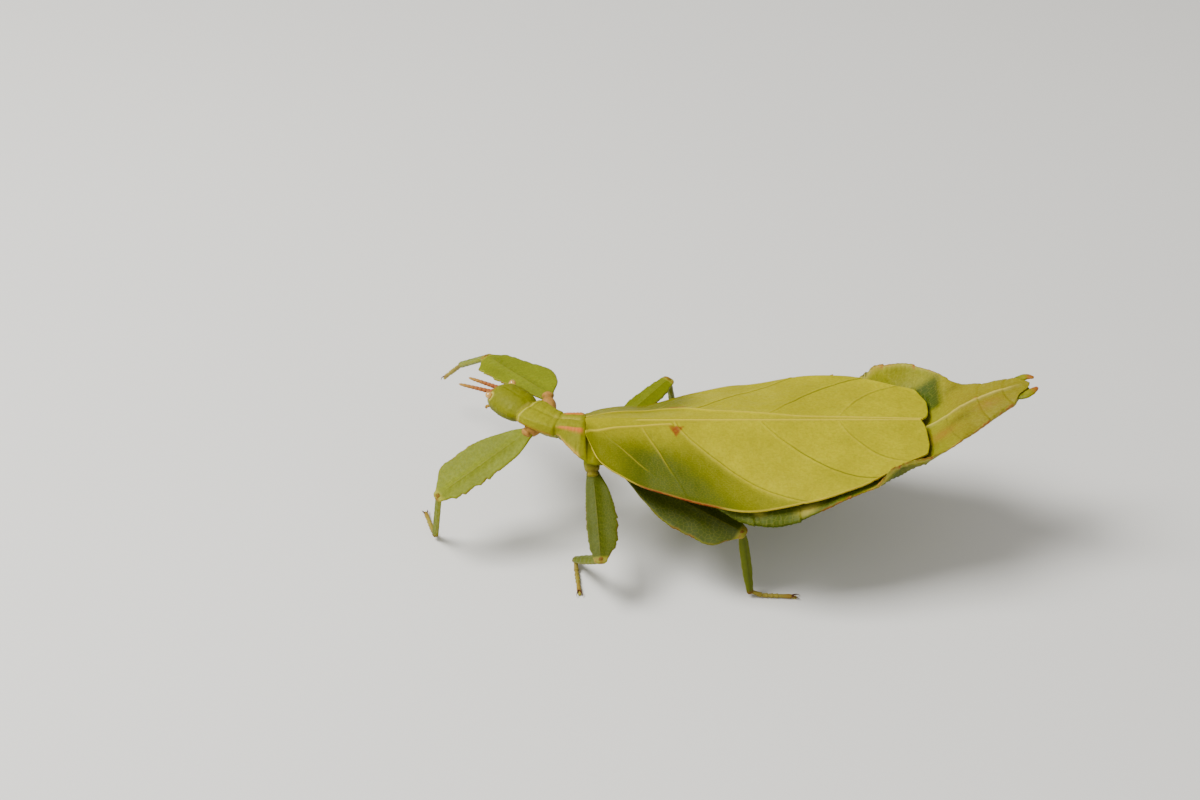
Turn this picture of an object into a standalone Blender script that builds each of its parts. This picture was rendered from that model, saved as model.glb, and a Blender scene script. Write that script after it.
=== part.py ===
"""A leaf insect, adult female, standing on its legs: a still, life-size model in named pieces.

The insect looks toward -X and its left side is toward -Y. Sizes and places are in millimetres,
heights are above the floor, and a mesh is turned to metres when it is made.
"""

from dataclasses import dataclass
from math import cos, exp, pi, radians, sin

import bmesh
import bpy
import numpy as np

MM = 0.001
GAP = 0.3  # clear space between neighbouring pieces
SHARP_ANGLE = radians(40)

# Driving sizes of the forewings
RIDGE_HEIGHT = 20.75  # crest of the closed forewings, without its veins
WING_FRONT = -2.1
WING_NOTCH = 46.6  # where the two forewings part at the rear, on the midline
WING_TIP = 0.9  # how far each rounded wing tip reaches past the notch
WING_THICK = 0.55
WING_EDGE_THICK = 0.5

# Driving sizes of the abdomen
ABDOMEN_FRONT = 5.0
ABDOMEN_TIP = 61.5
ABDOMEN_MARGIN_THICK = 0.55

# Driving sizes of the head and its feelers
HEAD_NECK = (-10.75, 4.15)
HEAD_YAW = 47.0  # degrees toward the insect's right
HEAD_MIDDLE = 19.5
EYE_RADIUS = 0.62
EYE_PLACE = (5.75, 2.3, 1.0)  # along the head, out from its middle plane and up
ANTENNA_LENGTH = 5.6
ANTENNA_JOINTS = 9
ANTENNA_YAW = 27.0

# Driving sizes of the legs
COXA_RADIUS = 1.05
HIP_RADIUS = 0.8
KNEE_RADIUS = 0.85
SHANK_RADIUS = 0.48
ANKLE_RADIUS = 0.5
TOE_RADIUS = 0.4
TOE_REST = 0.37  # height of a resting foot's middle, low enough to flatten its underside
LOBE_HALF_THICK = 0.26

COLOURS = {
    "head": (0.30, 0.36, 0.05),
    "thorax": (0.33, 0.38, 0.05),
    "wing": (0.38, 0.43, 0.05),
    "abdomen": (0.36, 0.41, 0.05),
    "leg": (0.19, 0.29, 0.04),
    "foot": (0.30, 0.22, 0.07),
    "coxa": (0.62, 0.27, 0.10),
    "antenna": (0.47, 0.17, 0.06),
    "eye": (0.76, 0.62, 0.30),
    "cercus": (0.42, 0.28, 0.07),
}
ROUGHNESS = 0.55


# Shaping tools

def smooth_through(stations, at):
    """Values at a place on a smooth curve through rows of (place, value, ...), with no overshoot."""
    rows = np.array(stations, float)
    places, values = rows[:, 0], rows[:, 1:]
    at = float(np.clip(at, places[0], places[-1]))
    steps = np.diff(places)
    rises = np.diff(values, axis=0) / steps[:, None]
    slopes = np.zeros_like(values)
    slopes[0], slopes[-1] = rises[0], rises[-1]
    before, after = rises[:-1], rises[1:]
    total = np.where(np.abs(before + after) < 1e-9, 1.0, before + after)
    slopes[1:-1] = np.where(before * after > 0, 2 * before * after / total, 0.0)
    i = min(int(np.searchsorted(places, at, side="right")) - 1, len(steps) - 1)
    t = (at - places[i]) / steps[i]
    start = (2 * t**3 - 3 * t**2 + 1) * values[i] + (t**3 - 2 * t**2 + t) * steps[i] * slopes[i]
    end = (3 * t**2 - 2 * t**3) * values[i + 1] + (t**3 - t**2) * steps[i] * slopes[i + 1]
    return start + end


def unit(vector):
    return np.array(vector, float) / np.linalg.norm(vector)


def between(start, end, share):
    return np.array(start, float) + (np.array(end, float) - np.array(start, float)) * share


def frame_of(direction, facing):
    """Side and face vectors square to a direction, the face vector as near to facing as it can be."""
    side = unit(np.cross(direction, facing))
    return side, np.cross(side, direction)


def along_route(route, share):
    """The place at a share of the length of a route of points."""
    route = np.array(route, float)
    lengths = np.linalg.norm(np.diff(route, axis=0), axis=1)
    left = share * lengths.sum()
    for i, length in enumerate(lengths):
        if left <= length or i == len(lengths) - 1:
            return between(route[i], route[i + 1], left / length)
        left -= length


def material_for(name, slot):
    material = bpy.data.materials.new(name)
    material.use_nodes = True
    shader = material.node_tree.nodes["Principled BSDF"]
    shader.inputs["Base Color"].default_value = (*COLOURS[slot], 1.0)
    shader.inputs["Roughness"].default_value = ROUGHNESS
    shader.inputs["Metallic"].default_value = 0.0
    return material


def new_piece(name, points, faces, slot):
    """An object with its own material from points in millimetres, its faces turned outward."""
    mesh = bpy.data.meshes.new(name)
    mesh.from_pydata([tuple(p) for p in np.array(points) * MM], [], faces)
    work = bmesh.new()
    work.from_mesh(mesh)
    bmesh.ops.recalc_face_normals(work, faces=work.faces)
    if work.calc_volume(signed=True) < 0:
        bmesh.ops.reverse_faces(work, faces=work.faces)
    work.to_mesh(mesh)
    work.free()
    mesh.shade_smooth()
    mesh.set_sharp_from_angle(angle=SHARP_ANGLE)
    mesh.materials.append(material_for(name, slot))
    piece = bpy.data.objects.new(name, mesh)
    bpy.context.scene.collection.objects.link(piece)
    return piece


def grid_shell(top, bottom):
    """Points and triangles of a closed sheet whose two faces are split the same way."""
    rows, columns = top.shape[:2]
    points = np.concatenate([top.reshape(-1, 3), bottom.reshape(-1, 3)])
    under = rows * columns
    faces = []
    for r in range(rows - 1):
        for c in range(columns - 1):
            a = r * columns + c
            b, d, e = a + 1, a + columns, a + columns + 1
            halves = ((a, b, e), (a, e, d)) if c < columns // 2 else ((a, b, d), (b, e, d))
            faces += halves
            faces += [(under + i, under + k, under + j) for i, j, k in halves]
    rim = [c for c in range(columns)]
    rim += [r * columns + columns - 1 for r in range(1, rows)]
    rim += [(rows - 1) * columns + c for c in range(columns - 2, -1, -1)]
    rim += [r * columns for r in range(rows - 2, 0, -1)]
    for a, b in zip(rim, rim[1:] + rim[:1]):
        faces += [(a, under + a, under + b), (a, under + b, b)]
    return points, faces


def ring_shell(rings):
    """Points and faces of a closed skin over rings of equal count, each end closed by a fan."""
    count = len(rings[0])
    points = [p for ring in rings for p in ring]
    faces = []
    for r in range(len(rings) - 1):
        for c in range(count):
            a, b = r * count + c, r * count + (c + 1) % count
            faces += [(a, b, b + count), (a, b + count, a + count)]
    last = (len(rings) - 1) * count
    for start, ring in ((0, rings[0]), (last, rings[-1])):
        middle = len(points)
        points.append(np.mean(ring, axis=0))
        faces += [(start + c, start + (c + 1) % count, middle) for c in range(count)]
    return points, faces


def limb_rings(path, radii, facing, sides=8, flatness=1.0, round_end=True, floor=None):
    """Rings along a path of points, the far end rounded, with flats where a floor cuts them."""
    path = [np.array(p, float) for p in path]
    stations = []
    for i, centre in enumerate(path):
        ahead = path[min(i + 1, len(path) - 1)] - path[max(i - 1, 0)]
        stations.append((centre, unit(ahead), radii[i]))
    if round_end:
        direction = unit(path[-1] - path[-2])
        for angle in (radians(40), radians(70)):
            centre = path[-1] + direction * radii[-1] * sin(angle)
            stations.append((centre, direction, radii[-1] * cos(angle)))
    rings = []
    for centre, direction, radius in stations:
        side, face = frame_of(direction, facing)
        turn = [2 * pi * (k + 0.5) / sides for k in range(sides)]
        ring = [centre + radius * (cos(a) * side + flatness * sin(a) * face) for a in turn]
        if floor is not None:
            ring = [np.array((x, y, max(z, floor))) for x, y, z in ring]
        rings.append(ring)
    return rings


def make_limb(name, path, radii, slot, facing=(0, 0, 1), **shape):
    points, faces = ring_shell(limb_rings(path, radii, facing, **shape))
    return new_piece(name, points, faces, slot)


def make_ball(name, centre, radii, slot, segments=12):
    """A ball, or an egg where the three radii differ, set square to the floor."""
    work = bmesh.new()
    bmesh.ops.create_uvsphere(work, u_segments=segments, v_segments=segments // 2 + 2, radius=1.0)
    points = [np.array(v.co) * radii + centre for v in work.verts]
    faces = [tuple(v.index for v in f.verts) for f in work.faces]
    work.free()
    return new_piece(name, points, faces, slot)


def grown_copy(piece, by):
    """A hidden cutter: the piece with every point moved out along its normal."""
    mesh = piece.data.copy()
    work = bmesh.new()
    work.from_mesh(mesh)
    work.normal_update()
    for vertex in work.verts:
        vertex.co += vertex.normal * by * MM
    work.to_mesh(mesh)
    work.free()
    cutter = bpy.data.objects.new("cutter", mesh)
    cutter.hide_render = True
    cutter.display_type = "WIRE"
    bpy.context.scene.collection.objects.link(cutter)
    return cutter


def boolean(piece, others, operation):
    """The piece joined with the others, or cut by them, which are then removed."""
    group = bpy.data.collections.new("tools")
    bpy.context.scene.collection.children.link(group)
    for other in others:
        group.objects.link(other)
    modifier = piece.modifiers.new("join", "BOOLEAN")
    modifier.operation = operation
    modifier.operand_type = "COLLECTION"
    modifier.collection = group
    modifier.solver = "EXACT"
    modifier.material_mode = "INDEX"
    graph = bpy.context.evaluated_depsgraph_get()
    shape = bpy.data.meshes.new_from_object(piece.evaluated_get(graph))
    piece.modifiers.clear()
    piece.data = shape
    for other in others:
        bpy.data.objects.remove(other)
    bpy.data.collections.remove(group)
    keep_largest(piece)
    shape.shade_smooth()
    shape.set_sharp_from_angle(angle=SHARP_ANGLE)


def keep_largest(piece):
    """Drops every closed surface of a piece but its largest."""
    work = bmesh.new()
    work.from_mesh(piece.data)
    bmesh.ops.triangulate(work, faces=work.faces)
    left = set(work.faces)
    shells = []
    while left:
        front = [left.pop()]
        shell = list(front)
        while front:
            near = {other for edge in front.pop().edges for other in edge.link_faces} & left
            left -= near
            front += near
            shell += near
        shells.append(shell)
    largest = max(shells, key=lambda shell: sum(face.calc_area() for face in shell))
    loose = [face for shell in shells if shell is not largest for face in shell]
    bmesh.ops.delete(work, geom=loose, context="FACES")
    work.to_mesh(piece.data)
    work.free()


# Forewings

WING_WIDTHS = (  # place along the body, half width of the closed wings, drop of the edge
    (-2.1, 2.5, 0.6),
    (0.0, 6.6, 2.7),
    (3.0, 8.8, 3.7),
    (7.4, 10.8, 4.8),
    (14.7, 14.2, 4.8),
    (21.2, 16.0, 4.7),
    (29.4, 15.8, 3.1),
    (36.5, 14.0, 1.7),
    (44.1, 9.0, 0.5),
    (46.4, 7.3, 0.3),
    (47.8, 4.8, 0.2),
)
WING_ROOF = 1.25  # above 1 the crest is rounded
WING_VEINS = ((2.6, 4.0), (6.2, 11.8), (10.6, 28.7), (22.9, 38.8), (34.3, 43.6))  # crest, edge
WING_LEAN = 1.4  # how the branch veins sweep back toward the edge
WING_PLAIN_ROWS = 3  # cross rows between two branch veins
MAIN_VEINS = {  # place along the crest, share of the way to the edge where the main vein runs
    "tegmen_left": ((-2.1, 0.5), (2.0, 0.26), (7.2, 0.13), (13.0, 0.06), (46.6, 0.05)),
    "tegmen_right": ((-2.1, 0.46), (3.0, 0.34), (12.0, 0.22), (20.0, 0.14), (30.0, 0.06), (46.6, 0.05)),
}
WING_COLUMNS = (0.0, 0.09, 0.22, 0.35, 0.48, 0.61, 0.74, 0.86, 0.95, 1.0)  # beyond the main vein
VEIN_HALF_WIDTH = 0.45
VEIN_RISE = 0.26
MAIN_VEIN_RISE = 0.3
RIM_RISE = 0.12


def wing_top(x, share):
    """Half width and height of the closed wings at a share of the way from crest to edge."""
    width, drop = smooth_through(WING_WIDTHS, x)
    return width, RIDGE_HEIGHT - drop * share**WING_ROOF


def wing_rows():
    """Cross rows of a forewing: place at the crest, place at the edge, 1 on a branch vein or 0."""
    stops = [(WING_FRONT, WING_FRONT), *WING_VEINS, (WING_NOTCH, WING_NOTCH)]
    rows = [(*stops[0], 0)]
    for i, (start, end) in enumerate(zip(stops, stops[1:])):
        first = np.array(start) + (VEIN_HALF_WIDTH if i > 0 else 0)
        last = np.array(end) - (VEIN_HALF_WIDTH if i < len(WING_VEINS) else 0)
        count = WING_PLAIN_ROWS + (last[1] - first[1] > 8)
        shares = [k / (count + 1) for k in range(0 if i > 0 else 1, count + 2)]
        rows += [(*between(first, last, share), 0) for share in shares]
        if i < len(WING_VEINS):
            rows.append((*end, 1))
    return rows


def row_shares(main):
    """Shares of the way from crest to edge in a cross row, and 1 where the main vein runs."""
    beyond = [(main + (1 - main) * share, 0) for share in WING_COLUMNS[1:]]
    return [(0.0, 0), (0.5 * main, 0), (main, 1), *beyond]


def vein_rise(share, on_main, on_branch):
    """How far the veins stand above the membrane at a place on a cross row."""
    branch = VEIN_RISE * (1.0 - 0.6 * share) * on_branch
    rim = RIM_RISE if share == 1.0 else 0.0
    return max(MAIN_VEIN_RISE * on_main, branch, rim)


def make_wing(name, side):
    """One forewing, a thin roofed sheet from the midline to its outer edge, its veins raised."""
    rows = wing_rows()
    top = np.zeros((len(rows), len(WING_COLUMNS) + 2, 3))
    bottom = top.copy()
    last_vein = WING_VEINS[-1][0]
    for r, (crest, edge, on_branch) in enumerate(rows):
        rear = max(0.0, (crest - last_vein) / (WING_NOTCH - last_vein))
        main = smooth_through(MAIN_VEINS[name], crest)[0]
        for c, (share, on_main) in enumerate(row_shares(main)):
            bulge = WING_TIP * sin(0.75 * pi * share) * rear**2
            x = crest + (edge - crest) * share**WING_LEAN + bulge
            width, height = wing_top(x, share)
            y = GAP / 2 + share * (width - GAP / 2)
            thick = WING_EDGE_THICK + (WING_THICK - WING_EDGE_THICK) * (1 - share)
            rise = vein_rise(share, on_main, on_branch and share > main) * (r > 0)
            top[r, c] = (x, side * y, height + rise)
            bottom[r, c] = (x, side * y, height - thick)
    points, faces = grid_shell(top, bottom)
    return new_piece(name, points, faces, "wing")


# Abdomen

ABDOMEN_SHAPE = (  # place, half width, height at the middle, height at the margin, curl of margin
    (5.0, 3.7, 18.4, 17.2, 1.6),
    (9.0, 7.1, 18.4, 15.7, 1.5),
    (15.0, 12.0, 18.2, 14.9, 1.4),
    (21.0, 16.6, 18.1, 14.4, 1.3),
    (24.5, 17.4, 18.0, 14.5, 1.3),
    (32.0, 16.3, 17.6, 17.0, 1.6),
    (38.0, 14.1, 17.4, 20.3, 4.5),
    (42.0, 12.8, 17.7, 22.1, 5.0),
    (45.0, 12.3, 18.4, 22.7, 5.0),
    (48.4, 10.6, 20.0, 22.8, 3.6),
    (52.2, 7.0, 23.1, 22.8, 2.0),
    (54.8, 5.1, 24.6, 23.7, 2.0),
    (57.2, 3.9, 25.7, 25.0, 2.0),
    (60.6, 2.0, 26.9, 26.6, 2.0),
    (61.5, 1.1, 27.0, 26.8, 2.0),
)
ABDOMEN_CORE = (  # place, thickness on the midline beyond the margin's
    (5.0, 1.6),
    (8.0, 2.3),
    (20.0, 2.6),
    (40.0, 1.9),
    (52.0, 1.5),
    (61.5, 0.5),
)
ABDOMEN_CORE_WIDTH = 4.5
ABDOMEN_LEDGE = 0.7  # the abdomen stays low this far past the wings' edge
ABDOMEN_STEEPEST = 3.0  # and then rises no more steeply than this
SEGMENT_ENDS = (9.5, 15.0, 21.0, 27.5, 34.5, 41.5, 46.0, 50.5, 54.8, 58.2, 61.5)
SEGMENT_STEP = 0.14  # rise of each segment's rear edge over the next one
SEGMENT_CORNER = 0.35  # how far each segment's rear corner stands out of the margin
KEEL_RISE = 0.22
ABDOMEN_SHARES = (0.0, 0.05, 0.18, 0.36, 0.54, 0.72, 0.88, 1.0)


def ceiling_under_wings(x, y):
    """Greatest height that keeps clear below the closed wings, rising steeply past their edge."""
    width, _ = wing_top(x, 0.0)
    share = min(abs(y) / width, 1.0)
    height = wing_top(x, share)[1] - WING_THICK - 1.2 * GAP
    past = max(abs(y) - width, x - WING_NOTCH - WING_TIP)
    return height + ABDOMEN_STEEPEST * max(past - ABDOMEN_LEDGE, 0.0)


def abdomen_rows():
    """Cross rows of the abdomen: place, and how near to its segment's rear edge, from 0 to 1."""
    rows = []
    start = ABDOMEN_FRONT
    for end in SEGMENT_ENDS:
        length = end - start
        rows += [(start + length * share, lift) for share, lift in ((0, 0), (0.4, 0.3), (0.75, 0.6))]
        rows.append((end - min(0.45, 0.12 * length), 1.0))
        start = end
    return rows + [(ABDOMEN_TIP, 0.0)]


def make_abdomen():
    """The broad, thin abdomen, thick along its middle, its rear curled up behind the wings."""
    rows = abdomen_rows()
    shares = [-share for share in ABDOMEN_SHARES[:0:-1]] + list(ABDOMEN_SHARES)
    top = np.zeros((len(rows), len(shares), 3))
    bottom = top.copy()
    for r, (x, lift) in enumerate(rows):
        width, middle, margin, curl = smooth_through(ABDOMEN_SHAPE, x)
        width += SEGMENT_CORNER * (lift - 0.5) * min(1.0, width / 6)
        core = smooth_through(ABDOMEN_CORE, x)[0]
        for c, share in enumerate(shares):
            y = share * width
            height = middle + (margin - middle) * abs(share) ** curl
            height = min(height, ceiling_under_wings(x, y) - SEGMENT_STEP - KEEL_RISE)
            height += SEGMENT_STEP * lift + (KEEL_RISE if share == 0 else 0.0)
            thick = ABDOMEN_MARGIN_THICK + core * exp(-((y / ABDOMEN_CORE_WIDTH) ** 2))
            top[r, c] = (x, y, height)
            bottom[r, c] = (x, y, height - thick - SEGMENT_STEP * (lift - 0.5))
    points, faces = grid_shell(top, bottom)
    return new_piece("abdomen", points, faces, "abdomen")


# Cerci

CERCI = {
    "cercus_left": ((59.4, -2.0, 26.0), (60.4, -2.1, 26.3), (61.4, -1.75, 26.7), (62.5, -0.9, 27.0)),
    "cercus_right": ((59.4, 2.0, 26.0), (60.4, 2.3, 26.3), (61.4, 2.4, 26.6), (62.4, 1.9, 26.8)),
}
CERCUS_RADII = (0.35, 0.55, 0.6, 0.22)


def make_cercus(name, abdomen):
    cercus = make_limb(name, CERCI[name], CERCUS_RADII, "cercus", flatness=0.55)
    boolean(cercus, [grown_copy(abdomen, GAP)], "DIFFERENCE")
    return cercus


# Thorax

# Each row of these tables is one cross section, square to the way the body points there:
# x, y, degrees turned toward the insect's right, half width of the back plate, half width of the
# side plates, and the heights of the midline, the back plate's edge, the side plates' edge and
# the underside
PROTHORAX = (
    (-6.05, 0.62, 18, 2.15, 2.3, 20.75, 20.3, 19.3, 17.3),
    (-7.6, 1.3, 27, 2.3, 2.5, 20.95, 20.5, 19.5, 17.3),
    (-9.4, 2.7, 36, 2.6, 2.8, 21.0, 20.6, 19.7, 17.5),
    (-10.45, 3.75, 42, 2.5, 2.65, 20.8, 20.4, 19.6, 17.9),
)
MESOTHORAX = (
    (-5.75, 0.52, 18, 2.0, 2.15, 20.8, 20.3, 19.3, 17.2),
    (-4.3, 0.2, 9, 2.1, 3.4, 20.95, 20.4, 18.7, 16.6),
    (-2.75, 0.0, 2, 2.35, 5.0, 20.95, 20.4, 17.9, 15.5),
    (-2.45, 0.0, 0, 2.2, 5.2, 19.5, 18.9, 17.5, 15.4),
    (-1.2, 0.0, 0, 2.2, 5.6, 19.4, 18.8, 17.0, 15.3),
    (1.0, 0.0, 0, 2.2, 5.0, 19.2, 18.7, 16.7, 15.2),
)
METATHORAX = (
    (1.3, 0.0, 0, 2.2, 4.9, 19.2, 18.7, 16.7, 15.2),
    (3.0, 0.0, 0, 2.2, 4.6, 18.9, 18.4, 16.6, 15.0),
    (4.7, 0.0, 0, 2.0, 4.0, 18.6, 18.1, 16.5, 15.0),
)
PROTHORAX_PLACES = (0, 0.35, 0.7, 1.0, 1.15, 1.5, 2.0, 2.5, 2.75, 3.0)
MESOTHORAX_PLACES = (0, 0.33, 0.66, 1.0, 1.33, 1.66, 2.0, 3.0, 4.0, 5.0)
METATHORAX_PLACES = (0, 0.5, 1.0, 1.5, 2.0)
BACK_FURROW = 0.14  # depth of the furrow along the middle of the back
CROSS_FURROW = 0.2  # depth of the furrow across the front plate
PLATE_RIM = 0.12  # rise of the front plate's front and rear rims
PLEURA_TOOTH = 0.22  # reach of the small knobs along the middle side plates


def thorax_ring(row, lift=0.0, tooth=0.0):
    """The outline of one cross section, its back lifted and its side edges drawn out."""
    x, y, yaw, back, flare, top, shoulder, rim, belly = row
    half = (
        (0.0, top + lift - BACK_FURROW),
        (0.3 * back, top + lift),
        (0.7 * back, top + lift - 0.35 * (top - shoulder)),
        (back, shoulder + 0.6 * lift),
        (flare + tooth, rim),
        (0.9 * flare, rim - 0.5),
        (0.55 * flare, 0.5 * (rim + belly) - 0.1),
        (0.25 * flare, belly + 0.1),
    )
    across = [*half, (0.0, belly)] + [(-out, z) for out, z in half[:0:-1]]
    turn = radians(yaw)
    return [np.array((x + out * sin(turn), y + out * cos(turn), z)) for out, z in across]


def table_rows(table, places):
    """Cross sections read smoothly from a table, at places counted in its rows."""
    stations = [(i, *row) for i, row in enumerate(table)]
    return [smooth_through(stations, place) for place in places]


def make_prothorax():
    """The front plate, with raised rims at both ends and a furrow across its middle."""
    lifts = {PROTHORAX_PLACES[0]: PLATE_RIM, PROTHORAX_PLACES[-1]: PLATE_RIM, 1.15: -CROSS_FURROW}
    rows = table_rows(PROTHORAX, PROTHORAX_PLACES)
    rings = [thorax_ring(row, lifts.get(p, 0.0)) for row, p in zip(rows, PROTHORAX_PLACES)]
    points, faces = ring_shell(rings)
    return new_piece("prothorax", points, faces, "thorax")


def make_mesothorax():
    """The middle of the thorax, its side plates widening backward with small knobs on the edge."""
    rings = []
    for k, row in enumerate(table_rows(MESOTHORAX, MESOTHORAX_PLACES)):
        rings.append(thorax_ring(row, tooth=PLEURA_TOOTH if k % 2 and k < 7 else 0.0))
    points, faces = ring_shell(rings)
    return new_piece("mesothorax", points, faces, "thorax")


def make_metathorax():
    rows = table_rows(METATHORAX, METATHORAX_PLACES)
    points, faces = ring_shell([thorax_ring(row) for row in rows])
    return new_piece("metathorax", points, faces, "thorax")


# Head

HEAD_SHAPE = (  # distance from the neck, half width, height above the middle, depth below it
    (0.15, 2.35, 1.3, 1.6),
    (1.2, 2.85, 1.7, 2.0),
    (3.0, 3.05, 1.95, 2.2),
    (4.8, 2.85, 1.9, 2.2),
    (6.0, 2.3, 1.5, 2.1),
    (6.8, 1.75, 0.9, 2.0),
    (7.3, 1.2, 0.2, 1.9),
    (7.6, 0.6, -0.6, 1.6),
)
HEAD_ROWS = 11
HEAD_SIDES = 16
LABRUM = ((7.45, 0.0, -1.15), (0.38, 0.7, 0.6))  # place in the head, radii
MANDIBLE = ((7.0, 0.75, -1.35), (0.55, 0.5, 0.7))
JAW_PALP = ((6.3, 1.0, -1.4), (6.9, 1.3, -1.9), (7.5, 1.35, -2.3), (7.9, 1.1, -2.9))
JAW_PALP_RADII = (0.22, 0.24, 0.2, 0.17)
LIP_PALP = ((6.3, 0.4, -1.7), (6.8, 0.5, -2.3), (7.2, 0.45, -2.8))
LIP_PALP_RADII = (0.18, 0.19, 0.14)


def head_place(along, out, up):
    """A place in the model from distances along the head, toward its right and above its middle."""
    turn = radians(HEAD_YAW)
    x = HEAD_NECK[0] - along * cos(turn) + out * sin(turn)
    y = HEAD_NECK[1] + along * sin(turn) + out * cos(turn)
    return np.array((x, y, HEAD_MIDDLE + up))


def make_head():
    """The smooth, slightly flattened head with its mouthparts below the front."""
    first, last = HEAD_SHAPE[0][0], HEAD_SHAPE[-1][0]
    rings = []
    for k in range(HEAD_ROWS):
        along = first + (last - first) * k / (HEAD_ROWS - 1)
        width, above, below = smooth_through(HEAD_SHAPE, along)
        middle, reach = (above - below) / 2, (above + below) / 2
        ring = []
        for s in range(HEAD_SIDES):
            turn = 2 * pi * (s + 0.5) / HEAD_SIDES
            ring.append(head_place(along, width * cos(turn), middle + reach * sin(turn)))
        rings.append(ring)
    points, faces = ring_shell(rings)
    head = new_piece("head", points, faces, "head")
    boolean(head, mouthparts(), "UNION")
    return head


def mouthparts():
    """Upper lip, both mandibles and two pairs of palps, as closed pieces to fuse with the head."""
    place, radii = LABRUM
    parts = [make_ball("labrum", head_place(*place), radii, "head", segments=8)]
    for side in (-1, 1):
        (along, out, up), radii = MANDIBLE
        centre = head_place(along, side * out, up)
        parts.append(make_ball("mandible", centre, radii, "head", segments=8))
        for route, thick in ((JAW_PALP, JAW_PALP_RADII), (LIP_PALP, LIP_PALP_RADII)):
            path = [head_place(along, side * out, up) for along, out, up in route]
            parts.append(make_limb("palp", path, thick, "head", facing=(0, 1, 0.2), sides=6))
    return parts


def make_eye(name, side, head):
    """A small round eye in a socket cut into the head's front corner."""
    along, out, up = EYE_PLACE
    eye = make_ball(name, head_place(along, side * out, up), EYE_RADIUS, "eye")
    boolean(head, [grown_copy(eye, GAP)], "DIFFERENCE")
    return eye


def make_antenna(name, side, head):
    """A short beaded feeler that starts on the front of the head."""
    root = head_place(6.6, side * 0.7, 0.5)
    turn = radians(ANTENNA_YAW + side * 4)
    direction = unit((-cos(turn), sin(turn), 0.0))
    path, radii = [], []
    for k in range(ANTENNA_JOINTS):
        size = 0.48 if k == 0 else 0.36 - 0.014 * k
        for share, swell in ((0.05, 0.7), (0.5, 1.0), (0.85, 0.95)):
            along = ANTENNA_LENGTH * (k + share) / ANTENNA_JOINTS
            path.append(root + direction * along)
            radii.append(size * swell)
    antenna = make_limb(name, path, radii, "antenna", sides=6)
    boolean(antenna, [grown_copy(head, GAP)], "DIFFERENCE")
    return antenna


# Legs

@dataclass
class Leg:
    """One leg by its joints, and the lobes of its thigh and shank."""

    root: tuple  # inside the body
    hip: tuple
    knee: tuple
    ankle: tuple
    toe: tuple
    facing: tuple  # the way the thigh's upper face looks
    lobes: tuple  # share of the thigh's length, reach of its left and right lobe
    teeth: tuple  # how far the teeth of the left and right lobe stand out
    shank: tuple = (0.55, 0.55)  # reach of the shank's left and right lobe
    heel: float = 0.35  # share of the foot, seen from above, where it comes down to the floor
    on_floor: bool = True


LEGS = {
    "front_left": Leg(
        root=(-8.6, 2.0, 19.0),
        hip=(-10.6, 0.6, 18.0),
        knee=(-23.4, -5.4, 11.0),
        ankle=(-24.5, -1.3, 1.05),
        toe=(-26.3, 4.6, TOE_REST),
        facing=(-0.2, -0.45, 0.85),
        lobes=((0, 1, 1), (0.2, 2.2, 2.6), (0.5, 2.5, 3.9), (0.8, 2.2, 3.9), (1, 1, 1)),
        teeth=(0.55, 0.2),
    ),
    "front_right": Leg(
        root=(-7.4, 3.4, 18.4),
        hip=(-7.7, 7.2, 20.0),
        knee=(-17.3, 20.3, 18.3),
        ankle=(-21.7, 28.0, 12.0),
        toe=(-24.6, 31.7, 7.3),
        facing=(0.1, -0.3, 0.9),
        lobes=((0, 1, 1), (0.15, 1.4, 3.6), (0.35, 2, 4.6), (0.6, 2.6, 3.6), (0.85, 2.8, 2.6), (1, 1, 1)),
        teeth=(0.35, 0.2),
        shank=(0.75, 1.0),
        on_floor=False,
    ),
    "middle_left": Leg(
        root=(-1.4, -2.2, 16.4),
        hip=(-1.0, -4.4, 14.2),
        knee=(0.1, -16.9, 8.3),
        ankle=(-3.6, -7.6, 1.05),
        toe=(-3.0, -14.2, TOE_REST),
        facing=(0.0, -0.64, 0.77),
        lobes=((0, 1, 1), (0.2, 2.1, 1.3), (0.55, 2.9, 1.6), (0.8, 2.6, 1.5), (1, 1, 1)),
        teeth=(0.35, 0.2),
    ),
    "middle_right": Leg(
        root=(-0.8, 2.6, 16.6),
        hip=(0.8, 5.4, 14.2),
        knee=(10.4, 18.2, 15.5),
        ankle=(12.0, 21.2, 5.2),
        toe=(14.4, 23.6, TOE_REST),
        facing=(0.1, -0.2, 0.95),
        lobes=((0, 1, 1), (0.25, 1.2, 1.3), (0.5, 1.8, 1.7), (0.8, 1.5, 1.5), (1, 1, 1)),
        teeth=(0.2, 0.2),
        heel=0.25,
    ),
    "hind_left": Leg(
        root=(3.2, -2.2, 16.6),
        hip=(4.4, -4.6, 14.2),
        knee=(20.2, -14.0, 10.9),
        ankle=(21.6, -14.9, 1.05),
        toe=(27.8, -15.3, TOE_REST),
        facing=(0.0, -0.5, 0.86),
        lobes=((0, 1, 1), (0.2, 1.8, 2.6), (0.5, 2.4, 4.2), (0.8, 2.4, 4.2), (1, 1, 1)),
        teeth=(0.35, 0.2),
    ),
    "hind_right": Leg(
        root=(3.2, 2.2, 16.6),
        hip=(4.4, 4.6, 14.2),
        knee=(20.0, 14.5, 9.8),
        ankle=(25.4, 16.6, 1.05),
        toe=(31.3, 18.6, TOE_REST),
        facing=(0.0, 0.3, 0.95),
        lobes=((0, 1, 1), (0.2, 2.4, 1.8), (0.5, 3.8, 2.4), (0.8, 3.8, 2.4), (1, 1, 1)),
        teeth=(0.2, 0.35),
    ),
}
THIGH_TEETH = 4
TEETH_FROM, TEETH_TO = 0.42, 0.93  # shares of the thigh's length
SHANK_BULGE = ((0.0, 0.0), (0.2, 0.9), (0.6, 1.0), (1.0, 0.0))  # share of length, of lobe reach
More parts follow.
